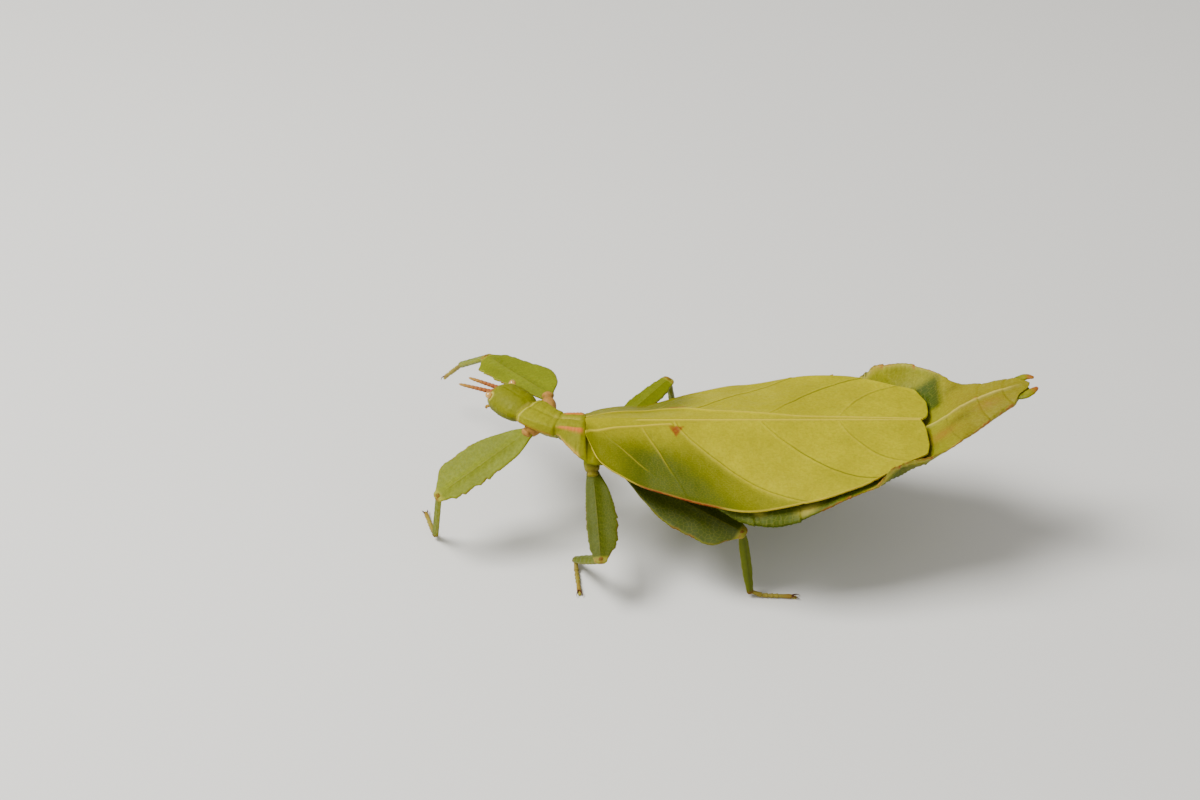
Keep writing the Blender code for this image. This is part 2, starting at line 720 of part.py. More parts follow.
FOOT_JOINTS = (0.0, 0.3, 0.43, 0.55, 0.67, 1.0)  # shares of the foot's length
CLAW = ((-0.2, 0.1, 0.1), (0.4, 0.32, 0.16), (0.8, 0.42, 0.05), (1.05, 0.4, -0.12))
CLAW_RADII = (0.14, 0.13, 0.09, 0.04)


def past_joint(before, joint, after, radius, own):
    """The place on the way past a joint that is clear of its ball and of the limb before it."""
    back, ahead = unit(np.subtract(before, joint)), unit(np.subtract(after, joint))
    fold = float(np.dot(back, ahead))
    clear = radius + GAP
    if fold > 0:
        clear = (clear + own * fold) / (1 - fold**2) ** 0.5
    return np.array(joint) + ahead * clear


def make_coxa(name, leg, body):
    path = [between(leg.root, leg.hip, t) for t in (0.0, 0.35, 0.7, 1.0)]
    radii = (COXA_RADIUS, 1.1 * COXA_RADIUS, COXA_RADIUS, HIP_RADIUS)
    coxa = make_limb(name, path, radii, "coxa", sides=10)
    boolean(coxa, [grown_copy(body, GAP)], "DIFFERENCE")
    return coxa


def blade_row(centre, side, face, core, left, right, edge):
    """Upper and lower points across a blade: a round core between two thin lobes."""
    left, right = max(left, 1.12 * core), max(right, 1.12 * core)
    across = (
        (-left, 0.8 * edge),
        (-core - 0.15 * (left - core), edge),
        (-0.6 * core, 0.8 * core),
        (0.0, core),
        (0.6 * core, 0.8 * core),
        (core + 0.15 * (right - core), edge),
        (right, 0.8 * edge),
    )
    upper = [centre + side * out + face * half for out, half in across]
    lower = [centre + side * out - face * half for out, half in across]
    return upper, lower


def make_blade(name, start, end, facing, cores, rows, slot):
    """A limb with a round core and a thin lobe along each side, its far end rounded.

    cores are the core's radii at the two ends, and rows hold the share of the length and the
    reach of the left and the right lobe.
    """
    direction = unit(end - start)
    side, face = frame_of(direction, facing)
    stations = [(share, 0.0, 1.0, left, right) for share, left, right in rows]
    stations += [(1.0, sin(a), cos(a), 0.0, 0.0) for a in (radians(45), radians(72))]
    grid = []
    for share, beyond, shrink, left, right in stations:
        core = (cores[0] + (cores[1] - cores[0]) * share) * shrink
        centre = between(start, end, share) + direction * beyond * cores[1]
        edge = LOBE_HALF_THICK * shrink
        grid.append(blade_row(centre, side, face, core, left, right, edge))
    top = np.array([upper for upper, _ in grid])
    bottom = np.array([lower for _, lower in grid])
    points, faces = grid_shell(top, bottom)
    return new_piece(name, points, faces, slot)


def make_femur(name, leg):
    """A thigh with leafy lobes, their outer half toothed."""
    rows = [(share, 0.0) for share in (0.0, 0.1, 0.22, 0.32)]
    step = (TEETH_TO - TEETH_FROM) / THIGH_TEETH
    for k in range(THIGH_TEETH):
        base = TEETH_FROM + k * step
        rows += [(base, -0.4), (base + 0.78 * step, 0.6)]
    rows += [(TEETH_TO + 0.02, -0.4), (1.0, 0.0)]
    lobed = []
    for share, tooth in rows:
        left, right = smooth_through(leg.lobes, share)
        lobed.append((share, left + tooth * leg.teeth[0], right + tooth * leg.teeth[1]))
    start = past_joint(leg.root, leg.hip, leg.knee, HIP_RADIUS, HIP_RADIUS)
    cores = (HIP_RADIUS, KNEE_RADIUS)
    return make_blade(name, start, np.array(leg.knee), leg.facing, cores, lobed, "leg")


def make_tibia(name, leg):
    start = past_joint(leg.hip, leg.knee, leg.ankle, KNEE_RADIUS, SHANK_RADIUS)
    rows = []
    for share in (0.0, 0.12, 0.35, 0.65, 0.9, 1.0):
        bulge = smooth_through(SHANK_BULGE, share)[0]
        rows.append((share, leg.shank[0] * bulge, leg.shank[1] * bulge))
    cores = (SHANK_RADIUS, ANKLE_RADIUS)
    return make_blade(name, start, np.array(leg.ankle), leg.facing, cores, rows, "leg")


def foot_route(leg):
    """The foot's middle line from the ankle down to the floor and along it to the toe."""
    start = past_joint(leg.knee, leg.ankle, leg.toe, ANKLE_RADIUS, TOE_RADIUS)
    heel = between(start, leg.toe, leg.heel)
    if leg.on_floor:
        heel[2] = TOE_REST
    return [start, heel, np.array(leg.toe, float)]


def claws_and_pad(leg, direction):
    """Two curved claws and the pad between them, as closed pieces to fuse with the foot."""
    side, face = frame_of(direction, (0, 0, 1))
    toe = np.array(leg.toe, float)
    floor = 0.0 if leg.on_floor else None
    parts = []
    for hand in (-1, 1):
        path = [toe + direction * a + side * hand * b + face * c for a, b, c in CLAW]
        shape = {"facing": (0, 0, 1), "sides": 5, "round_end": False, "floor": floor}
        parts.append(make_limb("claw", path, CLAW_RADII, "foot", **shape))
    pad = [toe + direction * a - face * 0.12 for a in (-0.1, 0.3, 0.55)]
    parts.append(make_limb("pad", pad, (0.24, 0.24, 0.15), "foot", sides=6, floor=floor))
    return parts


def make_tarsus(name, leg):
    """A foot of five joints with claws, flat underneath where it rests on the floor."""
    route = foot_route(leg)
    path, radii = [], []
    for start, end in zip(FOOT_JOINTS, FOOT_JOINTS[1:]):
        path += [along_route(route, start + 0.02), along_route(route, end - 0.02)]
        radii += [0.72 * TOE_RADIUS, TOE_RADIUS]
    floor = 0.0 if leg.on_floor else None
    tarsus = make_limb(name, path, radii, "foot", floor=floor)
    boolean(tarsus, claws_and_pad(leg, unit(route[2] - route[1])), "UNION")
    return tarsus


def make_leg(place, body):
    leg = LEGS[place]
    return [
        make_coxa(f"leg_{place}_coxa", leg, body),
        make_femur(f"leg_{place}_femur", leg),
        make_tibia(f"leg_{place}_tibia", leg),
        make_tarsus(f"leg_{place}_tarsus", leg),
    ]


def stand_at_origin(pieces):
    """Moves every mesh alike so that the model's box is centred over the origin."""
    points = np.array([v.co for piece in pieces for v in piece.data.vertices])
    low, high = points.min(axis=0), points.max(axis=0)
    shift = (-(low[0] + high[0]) / 2, -(low[1] + high[1]) / 2, 0.0)
    for piece in pieces:
        for vertex in piece.data.vertices:
            vertex.co = tuple(np.array(vertex.co) + shift)


def build():
    for old in list(bpy.data.objects):
        bpy.data.objects.remove(old)
    wings = [make_wing("tegmen_left", -1), make_wing("tegmen_right", 1)]
    abdomen = make_abdomen()
    cerci = [make_cercus(name, abdomen) for name in CERCI]
    thorax = {"front": make_prothorax(), "middle": make_mesothorax(), "hind": make_metathorax()}
    head = make_head()
    eyes = [make_eye("eye_left", -1, head), make_eye("eye_right", 1, head)]
    antennae = [make_antenna("antenna_left", -1, head), make_antenna("antenna_right", 1, head)]
    legs = []
    for place in LEGS:
        legs += make_leg(place, thorax[place.split("_")[0]])
    stand_at_origin([*wings, abdomen, *cerci, *thorax.values(), head, *eyes, *antennae, *legs])


build()
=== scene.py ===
"""The looks of a life-size leaf insect: a fine skin for each part, with veins, teeth and colours.

The insect looks toward -X and its left side is toward -Y. Sizes and places are in millimetres in
the insect's own lines: x along the body from the root of the forewings, y from the midline toward
the right, and heights above the floor. They become metres in the frame when a mesh is made.
"""

from math import cos, pi, radians, sin

import bpy
import numpy as np
from bpy.props import FloatProperty, FloatVectorProperty, PointerProperty
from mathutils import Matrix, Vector


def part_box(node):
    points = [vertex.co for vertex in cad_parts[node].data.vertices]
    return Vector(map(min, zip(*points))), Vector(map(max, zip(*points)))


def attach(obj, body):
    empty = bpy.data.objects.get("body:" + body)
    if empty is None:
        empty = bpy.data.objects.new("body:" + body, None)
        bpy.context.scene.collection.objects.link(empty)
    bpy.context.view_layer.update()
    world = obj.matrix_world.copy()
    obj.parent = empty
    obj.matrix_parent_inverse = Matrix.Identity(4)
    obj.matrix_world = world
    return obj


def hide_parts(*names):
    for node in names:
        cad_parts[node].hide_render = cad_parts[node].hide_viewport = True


bl_info = {
    "name": "Leaf insect",
    "version": (1, 0, 0),
    "blender": (4, 5, 0),
    "location": "3D View > Sidebar > Leaf insect",
    "description": "Dresses the solids of a leaf insect with fine skins and cuticle materials",
    "category": "Add Mesh",
}

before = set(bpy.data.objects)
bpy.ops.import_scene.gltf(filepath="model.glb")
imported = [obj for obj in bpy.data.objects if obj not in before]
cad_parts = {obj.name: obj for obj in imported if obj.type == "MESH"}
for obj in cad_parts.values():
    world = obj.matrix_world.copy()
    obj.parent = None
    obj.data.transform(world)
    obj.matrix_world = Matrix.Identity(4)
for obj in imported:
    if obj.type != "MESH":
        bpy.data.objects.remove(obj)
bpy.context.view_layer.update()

MM = 0.001
GAP = 0.3  # between the solids of the two forewings

# Sizes of the forewings
RIDGE_HEIGHT = 20.75
WING_FRONT = -2.1
WING_NOTCH = 45.9  # where the wings part at the rear
WING_END = 47.4  # mean place of their tips
WING_ROOF = 1.25  # how roundly the closed wings fall from the ridge to the edge
WING_WIDTHS = (  # place along the body, half width of the closed wings, drop of the edge
    (-2.1, 2.5, 0.6),
    (0.0, 6.6, 2.7),
    (3.0, 8.8, 3.7),
    (7.4, 10.8, 4.8),
    (14.7, 14.2, 4.8),
    (21.2, 16.0, 4.7),
    (29.4, 15.8, 3.1),
    (36.5, 14.0, 1.7),
    (44.1, 9.4, 0.5),
    (46.4, 8.1, 0.3),
    (48.2, 5.4, 0.2),
)
# What differs between the left (-1) and the right (1) forewing
WING_TIP = {-1: 1.125, 1: 1.875}  # reach of the tip behind the notch
WING_CORNER = {-1: 0.5, 1: 1.4}  # how far the rear corner is rounded off
WING_INNER = {-1: -0.35, 1: -0.2}  # the inner edge, just past the midline
MAIN_VEINS = {  # place along the body, share of the way to the edge where the main vein runs
    -1: (
        (-2.1, 0.88), (-1.5, 0.54), (-0.9, 0.4), (0.0, 0.3),
        (2.0, 0.215), (5.0, 0.16), (11.0, 0.1), (46.6, 0.1),
    ),
    1: (
        (-2.1, 0.46), (7.0, 0.45), (11.0, 0.41), (16.9, 0.23),
        (23.5, 0.145), (30.0, 0.07), (46.6, 0.05),
    ),
}
MIDLINE_VEIN = 0.5  # from the midline, in the left wing, which lies on top
# The branch veins: place at the crest and at the edge, how early they bend back, and how strongly
# they are raised, lined with dark green and pale
BRANCHES = (
    (-1.0, 12.5, 2.0, 0.25, 0.0, 0.3),
    (5.2, 12.6, 1.2, 0.5, 0.15, 0.35),
    (10.6, 28.7, 1.65, 1.0, 0.6, 0.28),
    (22.9, 38.8, 1.25, 0.8, 0.8, 0.12),
    (34.3, 43.6, 1.3, 0.5, 0.45, 0.2),
)

# Sizes of the abdomen
ABDOMEN_FRONT = 5.0
ABDOMEN_TIP = 61.5
ABDOMEN_SHAPE = (  # place, half width, height at the middle, height at the margin, curl of margin
    (5.0, 3.7, 18.4, 17.2, 1.6),
    (9.0, 7.1, 18.4, 15.7, 1.5),
    (15.0, 12.0, 18.2, 14.9, 2.0),
    (21.0, 16.6, 18.1, 14.4, 2.8),
    (24.5, 17.4, 18.0, 14.5, 3.2),
    (32.0, 16.3, 17.6, 17.0, 3.4),
    (38.0, 14.1, 17.4, 20.3, 4.5),
    (42.0, 12.8, 17.7, 22.1, 5.0),
    (45.0, 12.3, 18.4, 22.7, 5.0),
    (48.4, 10.6, 20.0, 22.8, 3.6),
    (52.2, 7.0, 23.1, 22.8, 2.0),
    (54.8, 5.1, 24.6, 23.7, 2.0),
    (57.2, 3.9, 25.7, 25.0, 2.0),
    (60.6, 2.4, 26.8, 26.5, 2.0),
    (61.5, 1.8, 26.9, 26.7, 2.0),
)
ABDOMEN_CORE = ((5.0, 1.6), (8.0, 2.3), (20.0, 2.6), (40.0, 1.9), (52.0, 1.5), (61.5, 0.5))
ABDOMEN_CORE_WIDTH = 4.5
ABDOMEN_MARGIN_THICK = 0.42
SEAM_BOW = 1.2
SEGMENT_ENDS = (9.5, 15.0, 21.0, 27.5, 34.5, 41.5, 46.0, 50.5, 54.8, 58.2, 61.5)
# Soft patches on the abdomen: place along the body and across it, length, width, strength. Those
# of the pale ovals are measured across in shares of the half width.
# The hollows are painted shade in the dips beside the keel.
SHADED_HOLLOWS = ((51.4, 5.4, 1.3, 1.0, 0.45), (51.6, -2.4, 1.8, 1.0, 0.45))
BRUISES = ((49.0, -3.6, 1.56, 1.2, 0.4), (55.6, -1.8, 1.8, 0.9, 0.18), (54.0, 0.3, 0.3, 0.3, 0.8))
OVALS = ((29.2, -0.925, 1.35, 0.034, 1.0), (22.3, -0.9, 0.8, 0.022, 0.6))
FAR_WEAR = ((42.2, 1.6), (49.0, 1.6), (54.0, 1.7))  # worn stretches of the far margin: place, size

# Cross sections of the thorax from front to rear: x, y, degrees turned toward the insect's right,
# half widths of the back and side plates, heights of the midline, the back plate's edge, the side
# plates' edge and the underside
THORAX = (
    (-10.45, 3.75, 42, 2.5, 2.65, 20.8, 20.4, 19.6, 17.9),
    (-9.4, 2.7, 36, 2.6, 2.8, 21.0, 20.6, 19.7, 17.5),
    (-7.6, 1.3, 27, 2.3, 2.5, 20.95, 20.5, 19.5, 17.3),
    (-6.05, 0.62, 18, 2.15, 2.3, 20.75, 20.3, 19.3, 17.3),
    (-5.75, 0.52, 18, 2.0, 2.15, 20.8, 20.3, 19.3, 17.2),
    (-4.3, 0.2, 9, 2.1, 3.4, 20.95, 20.4, 18.7, 16.6),
    (-2.75, 0.0, 2, 2.35, 5.0, 20.95, 20.4, 17.9, 15.5),
    (-2.15, 0.0, 0, 2.3, 5.3, 20.75, 20.1, 17.5, 15.4),
    (-1.75, 0.0, 0, 2.2, 5.45, 20.1, 19.3, 17.2, 15.4),
    (-0.9, 0.0, 0, 2.2, 5.5, 19.4, 18.8, 17.0, 15.3),
    (1.0, 0.0, 0, 2.2, 5.0, 19.2, 18.7, 16.7, 15.2),
    (3.0, 0.0, 0, 2.2, 4.6, 18.9, 18.4, 16.6, 15.0),
    (5.4, 0.0, 0, 1.9, 3.7, 18.4, 17.9, 16.4, 15.1),
)
THORAX_POINTS = 16  # around each cross section

# The head: distance from the neck, half width, height above the middle, depth below it
HEAD_SHAPE = (
    (-0.5, 1.5, 0.7, 1.0),
    (0.0, 2.2, 1.2, 1.5),
    (1.2, 2.85, 1.7, 2.0),
    (3.0, 3.05, 1.95, 2.2),
    (4.8, 2.85, 1.9, 2.2),
    (6.0, 2.3, 1.5, 2.1),
    (6.8, 1.75, 0.9, 2.0),
    (7.3, 1.2, 0.2, 1.9),
    (7.6, 0.6, -0.6, 1.6),
)
HEAD_NECK = (-10.75, 4.15)
HEAD_YAW = 47.0
HEAD_MIDDLE = 19.5
EYE_PLACE = (5.75, 2.3, 1.0)
EYE_RADIUS = 0.62
ANTENNA_LENGTH = 5.6
ANTENNA_JOINTS = 9
ANTENNA_YAW = 27.0
ANTENNA_ROOT = (6.3, 0.7, 0.45)
ANTENNA_SOCKET = (6.6, 0.7, 0.5)  # the flushed skin around the root

# Joints of the legs, the way the thigh's face looks, and the reach of the thigh's two lobes
LEGS = {
    "front_left": {
        "root": (-8.6, 2.0, 19.0),
        "hip": (-10.6, 0.6, 18.0),
        "knee": (-23.4, -5.4, 11.0),
        "ankle": (-24.5, -1.3, 1.05),
        "toe": (-26.3, 4.6, 0.37),
        "facing": (-0.2, -0.45, 0.85),
        "lobes": ((0, 1, 1), (0.2, 2.2, 2.6), (0.5, 2.5, 3.9), (0.8, 2.2, 3.9), (1, 1, 1)),
        "teeth": (0.55, 0.2),
    },
    "front_right": {
        "root": (-7.4, 3.4, 18.4),
        "hip": (-7.7, 7.2, 20.0),
        "knee": (-17.3, 20.3, 18.3),
        "ankle": (-21.7, 28.0, 12.0),
        "toe": (-24.6, 31.7, 7.3),
        "facing": (0.1, -0.3, 0.9),
        "lobes": (
            (0, 1, 1), (0.15, 1.4, 3.6), (0.35, 2, 4.6),
            (0.6, 2.6, 3.6), (0.85, 2.8, 2.6), (1, 1, 1),
        ),
        "teeth": (0.35, 0.2),
        "shank": (0.75, 1.0),
        "on_floor": False,
    },
    "middle_left": {
        "root": (-1.4, -2.2, 16.4),
        "hip": (-1.0, -4.4, 14.2),
        "knee": (0.1, -16.9, 8.3),
        "ankle": (-3.6, -7.6, 1.05),
        "toe": (-3.0, -14.2, 0.37),
        "facing": (0.0, -0.64, 0.77),
        "lobes": ((0, 1, 1), (0.2, 2.1, 1.3), (0.55, 2.9, 1.6), (0.8, 2.6, 1.5), (1, 1, 1)),
        "teeth": (0.35, 0.2),
    },
    "middle_right": {
        "root": (-0.8, 2.6, 16.6),
        "hip": (0.8, 5.4, 14.2),
        "knee": (10.4, 18.2, 15.5),
        "ankle": (12.0, 21.2, 5.2),
        "toe": (14.4, 23.6, 0.37),
        "facing": (0.1, -0.2, 0.95),
        "lobes": ((0, 1, 1), (0.25, 1.2, 1.3), (0.5, 1.8, 1.7), (0.8, 1.5, 1.5), (1, 1, 1)),
        "teeth": (0.2, 0.2),
        "heel": 0.25,
    },
    "hind_left": {
        "root": (3.2, -2.2, 16.6),
        "hip": (4.4, -4.6, 14.2),
        "knee": (20.2, -14.0, 10.9),
        "ankle": (21.6, -14.9, 1.05),
        "toe": (27.8, -15.3, 0.37),
        "facing": (0.0, -0.5, 0.86),
        "lobes": ((0, 1, 1), (0.2, 1.8, 2.6), (0.5, 2.4, 4.2), (0.8, 2.4, 4.2), (1, 1, 1)),
        "teeth": (0.35, 0.2),
    },
    "hind_right": {
        "root": (3.2, 2.2, 16.6),
        "hip": (4.4, 4.6, 14.2),
        "knee": (20.0, 14.5, 9.8),
        "ankle": (25.4, 16.6, 1.05),
        "toe": (31.3, 18.6, 0.37),
        "facing": (0.0, 0.3, 0.95),
        "lobes": ((0, 1, 1), (0.2, 2.4, 1.8), (0.5, 3.8, 2.4), (0.8, 3.8, 2.4), (1, 1, 1)),
        "teeth": (0.2, 0.35),
    },
}
COXA_RADIUS = 1.05
HIP_RADIUS = 0.8
KNEE_RADIUS = 0.85
SHANK_RADIUS = 0.48
ANKLE_RADIUS = 0.5
THIGH_TEETH = 4
TEETH_FROM, TEETH_TO = 0.42, 0.93
SHANK_BULGE = ((0.0, 0.0), (0.2, 0.9), (0.6, 1.0), (1.0, 0.0))
FOOT_JOINTS = (0.0, 0.3, 0.43, 0.55, 0.67, 1.0)
# painted shadow: the legs under the body lie in its shade, the near middle and hind ones most
SHADE = {  # how much deeper the green of each leg is
    "front_left": 0.03,
    "front_right": 0.1,
    "middle_left": 0.85,
    "middle_right": 0.15,
    "hind_left": 1.0,
    "hind_right": 0.4,
}
CERCI = {
    "cercus_left": (
        (59.4, -2.0, 26.0), (60.4, -2.1, 26.3), (61.4, -1.75, 26.7), (62.5, -0.9, 27.0),
    ),
    "cercus_right": (
        (59.4, 2.0, 26.0), (60.4, 2.3, 26.3), (61.4, 2.4, 26.6), (62.4, 1.9, 26.8),
    ),
}

# Where the insect's own lines lie in the frame
SHIFT = np.array((
    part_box("abdomen")[1].x - ABDOMEN_TIP * MM,
    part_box("tegmen_left")[1].y + GAP / 2 * MM,
    0.0,
))


def linear(colour):
    """Linear red, green and blue of an sRGB hex colour."""
    parts = [int(colour[i:i + 2], 16) / 255 for i in (1, 3, 5)]
    return tuple(c / 12.92 if c <= 0.04045 else ((c + 0.055) / 1.055) ** 2.4 for c in parts)


def colour_property(name, description, default):
    """A colour that a user can change, from an sRGB hex colour."""
    return FloatVectorProperty(
        name=name, description=description, default=linear(default), subtype="COLOR", min=0, max=1
    )


def size_property(name, description, default, unit="LENGTH"):
    """A size, or another number with a unit, that a user can change."""
    return FloatProperty(name=name, description=description, default=default, unit=unit)


class WingLook(bpy.types.PropertyGroup):
    """Sizes and colours of the forewings."""

    thickness: size_property("Thickness", "Thickness of the membrane", 0.32 * MM)
    vein_rise: size_property("Vein rise", "Rise of the main vein", 0.26 * MM)
    vein_width: size_property("Vein width", "Half width of the main vein", 0.22 * MM)
    blade: colour_property("Blade", "Lit green of the wing", "#9D9504")
    # deep green: painted shade on the wing's front and outer slope, and dark lines by the branch
    # veins
    deep: colour_property("Deep green", "Darker green near the root", "#3E4A02")
    vein: colour_property("Veins", "Pale yellow of veins and rim", "#CDB63A")
    rust: colour_property("Spots", "Red-brown of the spots", "#7E2C10")


class BodyLook(bpy.types.PropertyGroup):
    """Colours of head, thorax and abdomen."""

    leaf: colour_property("Leaf", "Green of the body", "#7E7C06")
    # deep green: painted shade and shadow on abdomen, lower sides of the thorax and the head's
    # underside
    deep: colour_property("Deep green", "Green in the hollows", "#344600")
    pale: colour_property("Pale lines", "Pale keel and sutures", "#C9BB50")
    rust: colour_property("Margins", "Orange-pink margins and corners", "#9C4A20")
    collar: colour_property("Shoulders", "Orange-pink of the thorax's sides", "#C86C2C")
    eye: colour_property("Eyes", "Pale yellow of the eyes", "#D2A048")


class LegLook(bpy.types.PropertyGroup):
    """Colours of the legs and feelers."""

    leaf: colour_property("Leaf", "Green of thighs and shanks", "#6E7606")
    # deep green: also the painted shadow on each leg, by the SHADE table
    deep: colour_property("Deep green", "Green of the thigh's middle", "#3A4402")
    pale: colour_property("Pale rim", "Pale rim of the lobes", "#B9AF3A")
    rust: colour_property("Teeth", "Red-brown of the teeth and knees", "#7C3A1A")
    foot: colour_property("Feet", "Green to tan of the feet", "#80742A")
    feeler: colour_property("Feelers", "Orange-brown of the feelers", "#9A5A26")
    claw: colour_property("Claws", "Dark brown of the claws", "#4A2A17")
    root: colour_property("Leg roots", "Orange-pink of the leg roots", "#A8703A")


class StageLook(bpy.types.PropertyGroup):
    """The floor, the lights and the camera."""

    floor: colour_property("Floor", "Pale floor", "#E4E2DC")
    distance: size_property("Distance", "Camera to insect", 0.342)
    elevation: FloatProperty(
        name="Elevation", description="Camera above the floor", default=radians(34), subtype="ANGLE"
    )
    lens: size_property("Lens", "Focal length in millimetres", 70.0, unit="CAMERA")
    key: size_property("Key light", "Power of the main light", 5.6, unit="POWER")
    fill: size_property("Fill light", "Power of the fill light", 0.7, unit="POWER")


class InsectLook(bpy.types.PropertyGroup):
    """Every size and colour of the leaf insect."""

    wings: PointerProperty(type=WingLook)
    body: PointerProperty(type=BodyLook)
    legs: PointerProperty(type=LegLook)
    stage: PointerProperty(type=StageLook)


# Shaping tools

def smooth_through(stations, at):
    """Values at places on smooth curves through rows of (place, value, ...), with no overshoot."""
    rows = np.array(stations, float)
    places, values = rows[:, 0], rows[:, 1:]
    at = np.clip(np.asarray(at, float), places[0], places[-1])
    steps = np.diff(places)
    rises = np.diff(values, axis=0) / steps[:, None]
    slopes = np.zeros_like(values)
    slopes[0], slopes[-1] = rises[0], rises[-1]
    before, after = rises[:-1], rises[1:]
    total = np.where(np.abs(before + after) < 1e-9, 1.0, before + after)
    slopes[1:-1] = np.where(before * after > 0, 2 * before * after / total, 0.0)
    i = np.clip(np.searchsorted(places, at, side="right") - 1, 0, len(steps) - 1)
    t = ((at - places[i]) / steps[i])[..., None]
    step = steps[i][..., None]
    start = (2 * t**3 - 3 * t**2 + 1) * values[i] + (t**3 - 2 * t**2 + t) * step * slopes[i]
    end = (3 * t**2 - 2 * t**3) * values[i + 1] + (t**3 - t**2) * step * slopes[i + 1]
    return np.moveaxis(start + end, -1, 0)


def ease(low, high, value):
    """0 below low, 1 above high and a smooth step between them."""
    t = np.clip((value - low) / (high - low), 0.0, 1.0)
    return t * t * (3 - 2 * t)


def hump(distance, width):
    """1 at no distance, falling smoothly to nothing past the width."""
    return np.exp(-((distance / width) ** 2))


def ripple(at, size, seed):
    """Uneven smooth waves between -1 and 1 over places in millimetres, about size long."""
    random = np.random.default_rng(seed)
    waves = np.zeros(len(at))
    for _ in range(7):
        turn = random.normal(size=3)
        turn *= 2 * pi / (size * np.linalg.norm(turn) * random.uniform(0.7, 1.5))
        waves += np.sin(at @ turn + random.uniform(0, 2 * pi))
    return waves / 4


def unit(vector):
    """A vector turned to length 1."""
    return np.array(vector, float) / np.linalg.norm(vector)


def frame_of(direction, facing):
    """Side and face vectors square to a direction, the face as near to facing as it can be."""
    side = unit(np.cross(direction, facing))
    return side, np.cross(side, direction)


def add_primitive(name, operator, **sizes):
    """A new primitive, alone selected and named, with the places of its vertices."""
    bpy.ops.object.select_all(action="DESELECT")
    operator(**sizes)
    piece = bpy.context.object
    piece.name = name
    piece.data.name = name
    return piece, places_of(piece)


def places_of(piece):
    """The places of a piece's vertices as an array, in the units of its mesh."""
    flat = np.empty(len(piece.data.vertices) * 3)
    piece.data.vertices.foreach_get("co", flat)
    return flat.reshape(-1, 3)


def insect_places(piece):
    """The places of a piece's vertices in millimetres in the insect's own lines."""
    return (places_of(piece) - SHIFT) / MM


def set_places(piece, places):
    """Moves a piece's vertices to places in millimetres in the insect's own lines."""
    places[:, 2] = np.maximum(places[:, 2], 0.0)
    piece.data.vertices.foreach_set("co", (places * MM + SHIFT).ravel())
    piece.data.update()


def on_all_faces(operator, **settings):
    """Runs an operator of edit mode on all of the active piece."""
    bpy.ops.object.mode_set(mode="EDIT")
    bpy.ops.mesh.select_all(action="SELECT")
    operator(**settings)
    bpy.ops.object.mode_set(mode="OBJECT")


def turn_outward(piece):
    """Turns the faces of a closed piece outward and shades it smooth."""
    bpy.context.view_layer.objects.active = piece
    on_all_faces(bpy.ops.mesh.normals_make_consistent, inside=False)
    bpy.ops.object.shade_smooth()


def apply_modifier(piece, kind, **settings):
    """Finishes the active piece with a modifier."""
    modifier = piece.modifiers.new(kind.lower(), kind)
    for name, value in settings.items():
        setattr(modifier, name, value)
    bpy.ops.object.modifier_apply(modifier=modifier.name)


def skin(name, around, rows, shape):
    """A closed skin drawn out of a ball.

    shape takes the share of the length and the turn, both arrays, and gives places in millimetres.
    The returned arrays hold the share and the turn of every vertex.
    """
    piece, ball = add_primitive(
        name, bpy.ops.mesh.primitive_uv_sphere_add, segments=around, ring_count=rows, radius=1.0
    )
    ring = np.rint(np.arccos(np.clip(ball[:, 2], -1, 1)) * rows / pi)
    share = np.clip((ring - 1) / (rows - 2), 0.0, 1.0)
    turn = np.rint(np.arctan2(ball[:, 1], ball[:, 0]) * around / (2 * pi)) % around
    turn = turn * 2 * pi / around
    places = shape(share, turn)
    for pole, end in ((0, 1), (rows, rows - 1)):
        places[ring == pole] = places[ring == end].mean(axis=0)
    set_places(piece, places)
    turn_outward(piece)
    return piece, share, turn


def round_weights(turn, count):
    """How much each of count points around a ring counts at a turn, on a smooth closed curve."""
    at = turn / (2 * pi) * count
    near = np.floor(at).astype(int)
    t = at - near
    parts = (
        -0.5 * t**3 + t**2 - 0.5 * t,
        1.5 * t**3 - 2.5 * t**2 + 1,
        -1.5 * t**3 + 2 * t**2 + 0.5 * t,
        0.5 * t**3 - 0.5 * t**2,
    )
    weights = np.zeros((len(turn), count))
    for k, part in enumerate(parts):
        weights[np.arange(len(turn)), (near + k - 1) % count] += part
    return weights


def way_along(path):
    """How far along a path each of its points lies."""
    return np.concatenate([[0.0], np.cumsum(np.linalg.norm(np.diff(path, axis=0), axis=1))])


def spread(turn):
    """Places across a flat ring, 1 to -1 over the first half turn and back over the second."""
    return np.where(turn < pi, 1 - 2 * turn / pi, 2 * turn / pi - 3)


def lofted(name, rings, around, rows):
    """A smooth closed skin over rings of equally many points.

    The returned arrays hold how far along it each vertex lies, in millimetres, and its turn.
    """
    rings = np.array(rings, float)
    along = way_along(rings.mean(axis=1))
    stations = np.column_stack([along, rings.reshape(len(rings), -1)])

    def shape(share, turn):
        sections = smooth_through(stations, share * along[-1]).T
        sections = sections.reshape(len(share), rings.shape[1], 3)
        return np.einsum("nk,nkc->nc", round_weights(turn, rings.shape[1]), sections)

    piece, share, turn = skin(name, around, rows, shape)
    return piece, share * along[-1], turn


